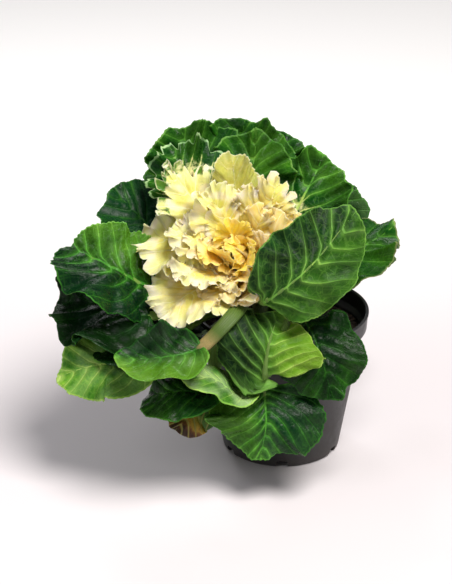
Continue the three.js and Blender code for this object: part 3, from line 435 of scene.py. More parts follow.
    # pale whitish patches: partly the leaf's own waxy bloom and partly painted sheen
    bloom_and_sheen = l["bloom_and_sheen"] * step(waves(X, Y, rnd, 20, 4), -.9, .6)
    at["ve"] = np.stack([both(np.full(n0, l["gtip"]) if l["gtip"] else bloom_and_sheen), both(np.full(n0, l["pink"])), both(np.clip(X / Lb, 0, 1.2))], 1)
    return verts, np.concatenate(faces), at


def stalk(l, nseg=30, nside=12):
    """petiole, running on under the blade as its midrib"""
    L, pet, rp = l["L"], l["pet"], l["stalk"]
    end = pet + (L - pet) * .80
    x = np.linspace(-1.5, end, nseg + 1)
    M, T, B, N = along(l, x)
    f = np.clip((x - pet) / (end - pet), 0, 1)
    p = np.clip(x / pet, 0, 1)
    kl = 1 + (l["keel"] - 1) * step(x, pet * .8, pet * 1.2)
    w = np.where(x < pet, rp * (1.45 - .45 * p), rp * (1 - f) ** .85) * kl + .22
    t = np.where(x < pet, rp * (1.0 - .22 * p), rp * .78 * (1 - f) ** .85) * kl + .18
    drop = step(x, pet * .75, pet * 1.15) * t * .82 + np.clip(f, 0, 1) * 1.0
    verts = []
    for i in range(nseg + 1):
        a = np.arange(nside) * 2 * np.pi / nside
        sa = np.sin(a)
        verts.append(M[i] - N[i] * drop[i] + B[i] * (w[i] * np.cos(a))[:, None] + N[i] * (t[i] * sa * np.where(sa > 0, .62, 1.0))[:, None])
    verts.append(M[:1] - T[:1] * .6)
    verts.append(M[-1:] - N[-1:] * drop[-1] + T[-1:] * .5)
    verts = np.concatenate(verts)
    faces = []
    for i in range(nseg):
        for j in range(nside):
            a, b = i * nside + j, i * nside + (j + 1) % nside
            faces += [(a, b, b + nside), (a, b + nside, a + nside)]
    c0, c1 = (nseg + 1) * nside, (nseg + 1) * nside + 1
    for j in range(nside):
        k = (j + 1) % nside
        faces += [(c0, k, j), (c1, nseg * nside + j, nseg * nside + k)]
    return verts, np.array(faces), np.concatenate([np.repeat(x, nside), [x[0], x[-1]]])


# ------------------------------------------------------------------ materials
class Tree:
    """short calls for writing a node material"""

    def __init__(self, name):
        self.mat = bpy.data.materials.new(name)
        self.mat.use_nodes = True
        self.t = self.mat.node_tree
        self.b = self.t.nodes["Principled BSDF"]

    def new(self, kind, **kw):
        n = self.t.nodes.new(kind)
        for k, v in kw.items():
            setattr(n, k, v)
        return n

    def put(self, v, sock):
        if isinstance(v, (int, float)):
            sock.default_value = (v, v, v, 1.0)[:len(sock.default_value)] if hasattr(sock.default_value, "__len__") else v
        elif isinstance(v, tuple):
            sock.default_value = v if len(v) == len(sock.default_value) else v + (1.0,)
        else:
            self.t.links.new(v, sock)

    def m(self, op, a, b=0.0, c=0.0, clamp=False):
        n = self.new("ShaderNodeMath", operation=op, use_clamp=clamp)
        self.put(a, n.inputs[0])
        self.put(b, n.inputs[1])
        if op == "MULTIPLY_ADD":
            self.put(c, n.inputs[2])
        return n.outputs[0]

    def attr(self, name):
        return self.new("ShaderNodeAttribute", attribute_name=name).outputs["Vector"]

    def xyz(self, name):
        n = self.new("ShaderNodeSeparateXYZ")
        self.put(self.attr(name), n.inputs[0])
        return n.outputs

    def step(self, x, lo, hi, a=0.0, b=1.0):
        n = self.new("ShaderNodeMapRange", interpolation_type="SMOOTHSTEP")
        for v, i in ((x, 0), (lo, 1), (hi, 2), (a, 3), (b, 4)):
            self.put(v, n.inputs[i])
        return n.outputs[0]

    def mix(self, f, a, b, blend="MIX"):
        n = self.new("ShaderNodeMix", data_type="RGBA", blend_type=blend)
        n.clamp_factor = True
        self.put(f, n.inputs[0])
        self.put(a, n.inputs[6])
        self.put(b, n.inputs[7])
        return n.outputs[2]

    def ramp(self, f, stops):
        n = self.new("ShaderNodeValToRGB")
        self.put(f, n.inputs[0])
        e = n.color_ramp.elements
        while len(e) < len(stops):
            e.new(.5)
        for el, (p, c) in zip(e, stops):
            el.position = p
            el.color = c + (1.0,)
        return n.outputs[0]

    def noise(self, co, scale, detail=2.0, rough=.5, dist=0.0):
        n = self.new("ShaderNodeTexNoise")
        self.put(co, n.inputs["Vector"])
        n.inputs["Scale"].default_value = scale
        n.inputs["Detail"].default_value = detail
        n.inputs["Roughness"].default_value = rough
        n.inputs["Distortion"].default_value = dist
        return n.outputs["Fac"]

    def cells(self, co, scale, feature="DISTANCE_TO_EDGE"):
        n = self.new("ShaderNodeTexVoronoi", feature=feature)
        self.put(co, n.inputs["Vector"])
        n.inputs["Scale"].default_value = scale
        return n.outputs["Distance"]

    def bump(self, height, dist, strength=1.0, after=None):
        n = self.new("ShaderNodeBump")
        self.put(height, n.inputs["Height"])
        n.inputs["Distance"].default_value = dist
        n.inputs["Strength"].default_value = strength
        if after is not None:
            self.put(after, n.inputs["Normal"])
        return n.outputs["Normal"]

    def set(self, **kw):
        for k, v in kw.items():
            self.put(v, self.b.inputs[k.replace("_", " ")])


def veins(T, size=1.0):
    """masks from the leaf's own coordinates: midrib and side veins, their branches, the fine net"""
    q, vg, t = T.xyz("va")
    aY, wm, edge = T.xyz("vb")
    lco = T.attr("lco")
    f = T.m("SUBTRACT", T.m("FRACT", T.m("ADD", q, .5)), .5)
    af = T.m("ABSOLUTE", f)
    lat = T.m("MULTIPLY", af, vg)
    wl = T.m("MULTIPLY_ADD", t, -.42 * size, .78 * size)
    L = T.step(lat, T.m("MULTIPLY", wl, .35), wl, 1.0, 0.0)
    g1 = T.step(t, .10, 1.0, 0.0, .36)
    b1 = T.m("MULTIPLY", T.m("ABSOLUTE", T.m("SUBTRACT", af, g1)), vg)
    B1 = T.m("MULTIPLY", T.step(b1, .12 * size, .46 * size, 1.0, 0.0), T.step(t, .08, .25, 0.0, .85))
    g2 = T.step(t, .42, 1.15, .30, .485)
    b2 = T.m("MULTIPLY", T.m("ABSOLUTE", T.m("SUBTRACT", af, g2)), vg)
    B2 = T.m("MULTIPLY", T.step(b2, .08 * size, .34 * size, 1.0, 0.0), T.step(t, .40, .60, 0.0, .6))
    M = T.step(T.m("DIVIDE", aY, wm), .55, 1.15, 1.0, 0.0)
    warp = T.new("ShaderNodeVectorMath", operation="ADD")
    T.put(lco, warp.inputs[0])
    nz = T.new("ShaderNodeTexNoise")
    T.put(lco, nz.inputs["Vector"])
    nz.inputs["Scale"].default_value = .35
    sc = T.new("ShaderNodeVectorMath", operation="SCALE")
    T.put(nz.outputs["Color"], sc.inputs[0])
    sc.inputs["Scale"].default_value = 2.6
    T.put(sc.outputs[0], warp.inputs[1])
    net = T.step(T.cells(warp.outputs[0], .21 / size), .02, .085, 1.0, 0.0)
    fine = T.step(T.cells(warp.outputs[0], .62 / size), .02, .10, 1.0, 0.0)
    main = T.m("MAXIMUM", M, L)
    branch = T.m("MAXIMUM", B1, B2)
    return dict(M=M, L=L, main=main, branch=branch, net=net, fine=fine, lat=lat, edge=edge, lco=lco, t=t)


def leaf_material(name):
    T = Tree(name)
    v = veins(T)
    u, side, vs = T.xyz("vd")
    lum, yel, crm = T.xyz("vc")
    gtip, pink, xl = T.xyz("ve")
    lco = v["lco"]
    n1 = T.noise(lco, .09, 4, .6)
    n2 = T.noise(lco, .45, 3, .6)
    n3 = T.noise(lco, 2.2, 2, .6)
    low = T.step(side, -1.0, 0.2, 1.0, 0.0)
    halo = T.step(v["lat"], 0.0, 5.0, 1.0, 0.0)
    k = T.m("ADD", lum, T.m("MULTIPLY", T.m("SUBTRACT", n1, .5), 1.8))
    k = T.m("ADD", k, T.m("MULTIPLY", T.m("SUBTRACT", n2, .5), .45))
    k = T.m("ADD", k, T.m("MULTIPLY", halo, .14))
    k = T.m("ADD", k, T.m("MULTIPLY", T.step(u, .75, 1.0), .10))
    k = T.m("MULTIPLY_ADD", k, .4, .4)
    col = T.ramp(k, [(0.0, (.0008, .008, .0018)), (.24, (.0015, .020, .0030)), (.42, (.0040, .050, .0040)),
                     (.60, (.015, .112, .005)), (.80, (.070, .24, .008)), (1.0, (.21, .42, .018))])
    kk = T.step(k, 0.0, .40, .15, 1.0)
    col = T.mix(T.m("MULTIPLY", kk, T.m("MULTIPLY", yel, .50, clamp=True)), col, (.17, .31, .012))
    col = T.mix(T.m("MULTIPLY", yel, -.6, clamp=True), col, (.010, .060, .030))
    col = T.mix(T.m("MULTIPLY", low, T.m("MULTIPLY", kk, .22)), col, (.035, .125, .010))
    col = T.mix(T.m("MULTIPLY", kk, T.m("MULTIPLY", T.m("SUBTRACT", n3, .5), .30, clamp=True)), col, (.05, .20, .02))
    # cream spreads outwards along the veins
    c0 = T.m("ADD", crm, T.m("MULTIPLY", v["main"], .17))
    c0 = T.m("ADD", c0, T.m("MULTIPLY", T.m("SUBTRACT", n2, .5), .50))
    c0 = T.m("ADD", c0, T.m("MULTIPLY", T.m("SUBTRACT", n1, .5), .45))
    cr = T.step(c0, .20, .46)
    cream = T.mix(n1, (.80, .72, .26), (.92, .84, .48))
    col = T.mix(cr, col, cream)
    # veins over the blade
    pale = T.ramp(k, [(0.0, (.018, .075, .010)), (.22, (.060, .19, .020)), (.45, (.15, .35, .045)), (.70, (.30, .50, .090)), (1.0, (.46, .62, .16))])
    pale = T.mix(T.m("MAXIMUM", T.m("MULTIPLY", low, .4), cr), pale, (.42, .55, .12))
    soft = T.m("MULTIPLY", T.step(v["lat"], 0.0, 2.6, .34, 0.0), T.m("SUBTRACT", 1.05, v["t"], clamp=True))
    a = T.m("MULTIPLY", v["L"], T.m("MULTIPLY_ADD", v["t"], -.42, .66))
    a = T.m("MAXIMUM", T.m("MAXIMUM", a, soft), T.m("MULTIPLY", v["branch"], .15))
    a = T.m("MAXIMUM", a, T.m("MULTIPLY", v["M"], .80))
    a = T.m("MAXIMUM", a, T.m("MULTIPLY", v["net"], .14))
    a = T.m("MAXIMUM", a, T.m("MULTIPLY", v["fine"], .05))
    a = T.m("MULTIPLY", a, T.m("MULTIPLY", vs, T.m("MULTIPLY_ADD", n1, 1.3, .15)), clamp=True)
    col = T.mix(a, col, pale)
    # pale hem
    frost = T.m("MULTIPLY", T.m("MULTIPLY", pink, -1.0, clamp=True), T.step(n1, .38, .62, .45, 1.0))
    hw = T.m("MULTIPLY", T.m("MULTIPLY_ADD", n2, 1.2, .25), T.m("MULTIPLY_ADD", frost, 1.6, 1.0))
    hem = T.m("MULTIPLY", T.step(v["edge"], T.m("MULTIPLY", hw, .4), hw, 1.0, 0.0), T.m("MULTIPLY_ADD", frost, .5, .42))
    # on green leaves the first slot of ve holds the pale patches: partly waxy bloom and partly painted sheen
    col = T.mix(gtip, col, (.55, .66, .36))
    hem = T.m("MULTIPLY", hem, vs, clamp=True)
    pale = T.mix(T.m("MULTIPLY", pink, 1.0, clamp=True), pale, (.52, .34, .22))
    col = T.mix(hem, col, T.mix(frost, pale, (.74, .80, .50)))
    cast = T.mix(T.step(k, .15, .75), (.66, .96, .80), (.98, 1.0, .92))
    col = T.mix(T.m("SUBTRACT", 1.0, cr), col, cast, "MULTIPLY")
    # waxy bloom: matt, slightly blue in patches
    bloom = T.step(T.noise(lco, .055, 3, .65), .52, .76, 0.0, .06)
    col = T.mix(bloom, col, (.04, .12, .070))
    rough = T.m("MULTIPLY_ADD", n2, .20, .17)
    rough = T.m("ADD", rough, T.m("MULTIPLY", low, .16))
    rough = T.m("ADD", rough, T.m("MULTIPLY", bloom, .5))
    hgt = T.m("MULTIPLY_ADD", v["main"], -.55, T.m("MULTIPLY", v["branch"], -.20))
    hgt = T.m("ADD", hgt, T.m("MULTIPLY", v["net"], -.16))
    hgt = T.m("ADD", hgt, T.m("MULTIPLY", v["fine"], -.07))
    hgt = T.m("MULTIPLY", hgt, side)
    hgt = T.m("ADD", hgt, T.m("MULTIPLY", n3, .10))
    T.set(Base_Color=col, Roughness=rough, Normal=T.bump(hgt, .0006, .8),
          Specular_IOR_Level=.11, Subsurface_Weight=.06, Subsurface_Scale=.0020)
    T.b.inputs["Subsurface Radius"].default_value = (.35, 1.0, .12)
    return T.mat


def cream_material(name, golden=False):
    T = Tree(name)
    v = veins(T, .62)
    u, side, vs = T.xyz("vd")
    gtip, pink, xl = T.xyz("ve")
    lco = v["lco"]
    n1 = T.noise(lco, .13, 3, .6)
    n2 = T.noise(lco, .8, 3, .6)
    n3 = T.noise(lco, 3.0, 2, .6)
    low = T.step(side, -1.0, 0.2, 1.0, 0.0)
    col = T.mix(.0, T.attr("tint"), (1, 1, 1))
    if golden:
        col = T.mix(T.step(n1, .42, .80, 0.0, .34), col, (.90, .40, .030))
        col = T.mix(T.step(n2, .45, .80, 0.0, .35), col, (.95, .74, .16))
    else:
        col = T.mix(T.step(n1, .45, .80, 0.0, .20), col, (.93, .72, .26))
        col = T.mix(T.step(n2, .55, .90, 0.0, .20), col, (.78, .72, .22))
    # ochre deepening towards the middle of the blade, partly the leaf's own ochre and partly painted shade inside its
    # cup; paler on the veins
    ochre_and_shade = T.m("MULTIPLY", T.step(u, .2, .9, 1.0, 0.0), .45)
    col = T.mix(ochre_and_shade, col, (.86, .54, .04) if golden else (.74, .56, .12))
    a = T.m("MAXIMUM", T.m("MULTIPLY", v["main"], .70), T.m("MULTIPLY", v["branch"], .45))
    a = T.m("MAXIMUM", a, T.m("MULTIPLY", v["net"], .16))
    col = T.mix(a, col, T.mix(.55, T.attr("tint"), (.95, .76, .26) if golden else (.96, .91, .54)))
    # green left in the tips of the outermost cream leaves
    g = T.m("ADD", T.m("MULTIPLY", gtip, .85), T.m("MULTIPLY", T.m("SUBTRACT", n1, .5), 1.3))
    g = T.m("ADD", g, T.m("MULTIPLY_ADD", u, .55, -.62))
    g = T.m("SUBTRACT", g, T.m("MULTIPLY", v["main"], .25))
    g = T.m("MULTIPLY", T.step(g, .30, .46), T.step(gtip, .01, .05))
    col = T.mix(g, col, T.mix(n2, (.02, .12, .012), (.10, .26, .03)))
    col = T.mix(T.m("MULTIPLY", pink, T.step(n2, .2, .8, .35, .85)), col, (.37, .36, .065))
    hem = T.step(v["edge"], .15, .9, .55, 0.0)
    col = T.mix(hem, col, T.mix(.60, T.attr("tint"), (.97, .82, .26) if golden else (.97, .92, .60)))
    col = T.mix(T.m("MULTIPLY", low, .15), col, (.88, .74, .30))
    rough = T.m("MULTIPLY_ADD", n2, .22, .34)
    hgt = T.m("MULTIPLY_ADD", v["main"], .5, T.m("MULTIPLY", v["branch"], .3))
    hgt = T.m("ADD", hgt, T.m("MULTIPLY", v["net"], .14))
    hgt = T.m("ADD", hgt, T.m("MULTIPLY", n3, .16))
    T.set(Base_Color=col, Roughness=rough, Normal=T.bump(hgt, .0004, .7),
          Specular_IOR_Level=.16, Subsurface_Weight=.50, Subsurface_Scale=.0050)
    T.b.inputs["Subsurface Radius"].default_value = (1.0, .75, .25)
    return T.mat


def old_material(name):
    """a lower leaf that is turning yellow, with a brown tip"""
    T = Tree(name)
    v = veins(T)
    gtip, pink, xl = T.xyz("ve")
    lco = v["lco"]
    n1 = T.noise(lco, .11, 4, .6)
    n2 = T.noise(lco, .6, 3, .6)
    f = T.m("ADD", xl, T.m("MULTIPLY", T.m("SUBTRACT", n1, .5), 1.3))
    f = T.m("ADD", f, T.m("MULTIPLY", v["main"], -.12))
    col = T.ramp(f, [(0.0, (.012, .07, .012)), (.30, (.05, .15, .015)), (.50, (.24, .23, .02)), (.64, (.46, .30, .03)),
                     (.76, (.20, .085, .018)), (.92, (.065, .026, .010)), (1.0, (.035, .016, .008))])
    col = T.mix(T.m("MULTIPLY", v["main"], .6), col, (.42, .42, .12))
    col = T.mix(T.m("MULTIPLY", n2, .25), col, (.09, .05, .015))
    T.set(Base_Color=col, Roughness=T.m("MULTIPLY_ADD", n2, .25, .42),
          Normal=T.bump(T.m("ADD", T.m("MULTIPLY", v["main"], -.5), T.m("MULTIPLY", n2, .5)), .0006, .8),
          Specular_IOR_Level=.4, Subsurface_Weight=.06, Subsurface_Scale=.002)
    return T.mat


def stalk_material(name, a, b, c):
    """fleshy petiole: pale ribs along it, deeper green between"""
    T = Tree(name)
    co = T.attr("lco")
    n1 = T.noise(co, .12, 3)
    n2 = T.noise(co, 1.4, 3)
    st = T.new("ShaderNodeTexWave", wave_type="BANDS", bands_direction="Y")
    T.put(co, st.inputs["Vector"])
    st.inputs["Scale"].default_value = .55
    st.inputs["Distortion"].default_value = 1.2
    col = T.mix(n1, a, b)
    col = T.mix(T.m("MULTIPLY", st.outputs["Fac"], .35), col, c)
    # the first channel darkens the stalk, partly olive tone and partly painted shade; the third paints a shadow past
    # the knot
    dark, tan, brown = T.xyz("vc")
    col = T.mix(dark, col, (.050, .085, .010))
    col = T.mix(T.m("MULTIPLY", tan, T.m("MULTIPLY_ADD", n2, 1.2, .35), clamp=True), col, (.46, .30, .13))
    col = T.mix(brown, col, (.055, .030, .008))
    T.set(Base_Color=col, Roughness=T.m("MULTIPLY_ADD", n2, .2, .30),
          Normal=T.bump(T.m("ADD", st.outputs["Fac"], n2), .0003, .6),
          Specular_IOR_Level=.3, Subsurface_Weight=.12, Subsurface_Scale=.003)
    T.b.inputs["Subsurface Radius"].default_value = (.6, 1.0, .3)
    return T.mat


MAT = {
    "green": leaf_material("leaf_green"),
    "inner": leaf_material("leaf_inner"),
    "cream": cream_material("leaf_cream"),
    "heart": cream_material("leaf_heart", golden=True),
    "old": old_material("leaf_old"),
    "stalk": stalk_material("petiole_green", (.05, .15, .015), (.15, .28, .05), (.32, .42, .12)),
    "stalk_pale": stalk_material("petiole_cream", (.62, .60, .26), (.80, .74, .42), (.90, .86, .62)),
}


def mesh_object(name, verts, faces, mats, attrs=None, mat_index=None, smooth=True):
    me = bpy.data.meshes.new(name)
    verts = np.ascontiguousarray(verts * MM, np.float32)
    me.vertices.add(len(verts))
    me.vertices.foreach_set("co", verts.ravel())
    faces = np.ascontiguousarray(faces, np.int32)
    me.loops.add(faces.size)
    me.loops.foreach_set("vertex_index", faces.ravel())
    me.polygons.add(len(faces))
    me.polygons.foreach_set("loop_start", np.arange(0, faces.size, faces.shape[1], dtype=np.int32))
    me.polygons.foreach_set("use_smooth", np.full(len(faces), smooth))
    if mat_index is not None:
        me.polygons.foreach_set("material_index", np.ascontiguousarray(mat_index, np.int32))
    me.update(calc_edges=True)
    for k, a in (attrs or {}).items():
        at = me.attributes.new(k, "FLOAT_VECTOR", "POINT")
        at.data.foreach_set("vector", np.ascontiguousarray(a, np.float32).ravel())
    for m in mats:
        me.materials.append(m)
    me.validate()
    o = bpy.data.objects.new(name, me)
    bpy.context.scene.collection.objects.link(o)
    return o


def pick(l):
    n = l["name"]
    if l["old"]:
        return "old", "stalk", "leaf_old"
    if n.startswith("leaf_heart"):
        return "heart", "stalk_pale", "leaf_heart"
    if n.startswith("leaf_cream"):
        return "cream", "stalk_pale", "leaf_cream"
    if n.startswith("leaf_inner"):
        return "inner", "stalk", "leaf_inner"
    return "green", "stalk", "leaf_green"


for l in LEAVES:
    big = l["L"] - l["pet"] > 45 and not l["name"].startswith("leaf_cream")
    v, f, at = blade(l, 1.15 if big else .85, 1.0 if big else .72)
    sv, sf, sx = stalk(l)
    nv = len(v)
    m, sm, slot = pick(l)
    for k in at:
        at[k] = np.concatenate([at[k], np.zeros((len(sv), 3))])
    ang = np.tile(np.arange(12), len(sv) // 12)
    # the band of leaf_low_01: darker along its length, partly its own olive and partly painted shade; a tan patch at
    # the knot, and a painted shadow just past it
    if l["name"] == "leaf_low_01":
        g = sx / l["pet"]
        at["vc"][nv:] = np.stack([.74 + .14 * np.sin(9 * g), .55 * step(g, .84, .93) * (1 - step(g, .99, 1.05)),
                                  .55 * step(g, .95, 1.04) * (1 - step(g, 1.15, 1.35))], 1)
    at["lco"][nv:] = np.stack([sx, np.concatenate([ang * 1.1, [0, 0]])[:len(sv)], np.full(len(sv), l["seed"] * 1.0)], 1)
    o = mesh_object("kale_" + l["name"], np.concatenate([v, sv]), np.concatenate([f, sf + nv]), [MAT[m], MAT[sm]], at,
                    np.concatenate([np.zeros(len(f)), np.ones(len(sf))]))
    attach(o, "root")
    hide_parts(l["name"])


# ------------------------------------------------------------------ stem
def stem_piece():
    rnd = np.random.RandomState(71)
    zs = np.concatenate([np.linspace(-58, 20, 110)])
    nside = 48
    ref = np.array([1.0, 0, 0])
    rows = []
    ring_z = np.sort(rnd.uniform(-52, 4, 13))
    for z in zs:
        p, d = stem_point(z)
        if z < -50:
            p = p + d * 0
        e1 = unit(ref - d * (ref @ d))
        e2 = np.cross(d, e1)
        a = np.arange(nside) * 2 * np.pi / nside
        r = stem_radius(z) - .25
        scar = sum(np.exp(-((z - rz - 1.6 * np.sin(a + i * 2.4)) / .8) ** 2) * (.5 + .5 * np.cos(a - i * 2.4)) for i, rz in enumerate(ring_z))
        r = r + .35 * scar + .10 * np.sin(7 * a + z * .1) + .08 * np.sin(3 * a - z * .23)
        rows.append(p + e1 * (r * np.cos(a))[:, None] + e2 * (r * np.sin(a))[:, None])
    p0, d0 = stem_point(zs[0])
    p1, d1 = stem_point(zs[-1])
    verts = np.concatenate(rows + [p0[None], (p1 + d1 * 1.2)[None]])
    n = len(zs)
    faces = []
    for i in range(n - 1):
        for j in range(nside):
            a, b = i * nside + j, i * nside + (j + 1) % nside
            faces += [(a, b, b + nside), (a, b + nside, a + nside)]
    for j in range(nside):
        k = (j + 1) % nside
        faces += [(n * nside, k, j), (n * nside + 1, (n - 1) * nside + j, (n - 1) * nside + k)]
    lco = np.concatenate([np.repeat(zs, nside), [zs[0], zs[-1]]])
    aa = np.concatenate([np.tile(np.arange(nside) * .5, n), [0, 0]])
    T = Tree("kale_stem")
    co = T.new("ShaderNodeTexCoord").outputs["Object"]
    n1 = T.noise(co, 180, 4, .6)
    n2 = T.noise(co, 900, 3, .6)
    zz = T.new("ShaderNodeSeparateXYZ")
    T.put(co, zz.inputs[0])
    woody = T.step(T.m("ADD", zz.outputs[2], T.m("MULTIPLY", n1, .02)), .086, .108, 1.0, 0.0)
    col = T.mix(n1, (.20, .26, .10), (.42, .44, .22))
    col = T.mix(T.m("MULTIPLY", woody, .8), col, T.mix(n2, (.10, .065, .035), (.24, .17, .09)))
    T.set(Base_Color=col, Roughness=T.m("MULTIPLY_ADD", n2, .25, .5), Normal=T.bump(T.m("ADD", n1, n2), .0008, .8), Specular_IOR_Level=.35)
    o = mesh_object("kale_stem", verts, np.array(faces), [T.mat], {"lco": np.stack([lco, aa, 0 * aa], 1)})
    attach(o, "root")
    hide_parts("stem")


# ------------------------------------------------------------------ pot
def lathe(profile, n):
    prof = np.array(profile, float)
    a = np.arange(n) * 2 * np.pi / n
    rows = [np.stack([r * np.cos(a), r * np.sin(a), np.full(n, z)], 1) for r, z in prof]
    verts = np.concatenate(rows)
    faces = []
    k = len(prof)
    for i in range(k):
        i2 = (i + 1) % k
        for j in range(n):
            j2 = (j + 1) % n
            faces.append((i * n + j, i * n + j2, i2 * n + j2, i2 * n + j))
    return verts, np.array(faces)


def rounded(points, radii, steps=4):
    """polyline with each corner rounded by its radius"""
    P = [np.array(p, float) for p in points]
    out = []
    n = len(P)
    for i, p in enumerate(P):
        a, b, r = P[i - 1], P[(i + 1) % n], radii[i]
        if r <= 0:
            out.append(p)
            continue
        va, vb = a - p, b - p
        la, lb = np.linalg.norm(va), np.linalg.norm(vb)
        d = min(r, la * .45, lb * .45)
        s, e = p + va / la * d, p + vb / lb * d
        for t in np.linspace(0, 1, steps + 1):
            out.append((1 - t) ** 2 * s + 2 * t * (1 - t) * p + t * t * e)
    return out


def pot_piece():
    c = .04
    prof = [(c, .1), (34.6, .1), (35.9, 1.3), (49.1, 77.9), (51.3, 79.2), (51.9, 87.9), (52.35, 88.4), (52.4, 89.9),
            (50.5, 89.9), (50.3, 80.4), (48.0, 77.2), (34.8, 2.9), (33.6, 1.9), (c, 1.9)]
    rad = [0, .5, .5, .6, .5, .2, .25, .5, .5, .6, .6, .7, .7, 0]
    prof = rounded(prof, rad)
    # extra rings up the wall
    dense = []
    for i, p in enumerate(prof):
        dense.append(p)
        if i + 1 < len(prof):
            q = prof[i + 1]
            m = int(np.linalg.norm(q - p) // 4)
            for j in range(1, m + 1):
                dense.append(p + (q - p) * j / (m + 1))
    v, f = lathe(dense, 168)
    o = mesh_object("nursery_pot", v, f, [])
    # drainage slots through the corner between base and wall
    cut = bmesh.new()
    for i in range(6):
        a = (i + .5) * math.pi / 3
        bm = bmesh.new()
        bmesh.ops.create_cube(bm, size=1.0)
        for w in bm.verts:
            w.co = Vector((w.co.x * .016, w.co.y * .007, w.co.z * .008))
        bmesh.ops.bevel(bm, geom=[e for e in bm.edges], offset=.0008, segments=2, affect="EDGES")
        for w in bm.verts:
            x, y, z = w.co
            x += .036
            w.co = Vector((x * math.cos(a) - y * math.sin(a), x * math.sin(a) + y * math.cos(a), z + .0005))
        tmp = bpy.data.meshes.new("slot_cut")
        bm.to_mesh(tmp)
        bm.free()
        cut.from_mesh(tmp)
        bpy.data.meshes.remove(tmp)
    cm = bpy.data.meshes.new("slot_cuts")
    cut.to_mesh(cm)
    cut.free()
    co = bpy.data.objects.new("slot_cuts", cm)
    bpy.context.scene.collection.objects.link(co)
    mod = o.modifiers.new("slots", "BOOLEAN")
    mod.operation = "DIFFERENCE"
    mod.object = co
    mod.solver = "EXACT"
    dg = bpy.context.evaluated_depsgraph_get()
    me = bpy.data.meshes.new_from_object(o.evaluated_get(dg))
    o.modifiers.clear()
    o.data = me
    bpy.data.objects.remove(co)
    T = Tree("pot_plastic")
    oc = T.new("ShaderNodeTexCoord").outputs["Object"]
    n1 = T.noise(oc, 22, 4, .6)
    n2 = T.noise(oc, 900, 2, .6)
    n3 = T.noise(oc, 120, 3, .65)
    xyz = T.new("ShaderNodeSeparateXYZ")
    T.put(oc, xyz.inputs[0])
    drip = T.new("ShaderNodeMapping")
    T.put(oc, drip.inputs["Vector"])
    drip.inputs["Scale"].default_value = (1.0, 1.0, .09)
    n4 = T.noise(drip.outputs[0], 260, 3, .6)
    dust = T.step(T.m("ADD", n1, T.m("MULTIPLY", n3, .4)), .62, .95, 0.0, .35)
    splash = T.m("MULTIPLY", T.step(n4, .55, .78), T.step(xyz.outputs[2], .005, .085, .10, .30))
    low = T.step(T.m("ADD", xyz.outputs[2], T.m("MULTIPLY", n3, .008)), .003, .016, .35, 0.0)
    col = T.mix(n1, (.0095, .0095, .011), (.016, .016, .018))
    col = T.mix(T.m("ADD", T.m("ADD", dust, splash), low, clamp=True), col, (.060, .052, .045))
    rough = T.m("ADD", T.m("MULTIPLY_ADD", n3, .16, .34), T.m("MULTIPLY", dust, .6))
    T.set(Base_Color=col, Roughness=rough, Normal=T.bump(T.m("ADD", n2, T.m("MULTIPLY", n3, .6)), .00012, .6),
          Specular_IOR_Level=.5)
    o.data.materials.clear()
    o.data.materials.append(T.mat)
    for p in o.data.polygons:
        p.use_smooth = True
    o.data.set_sharp_from_angle(angle=math.radians(38))
    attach(o, "root")
    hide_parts("pot")


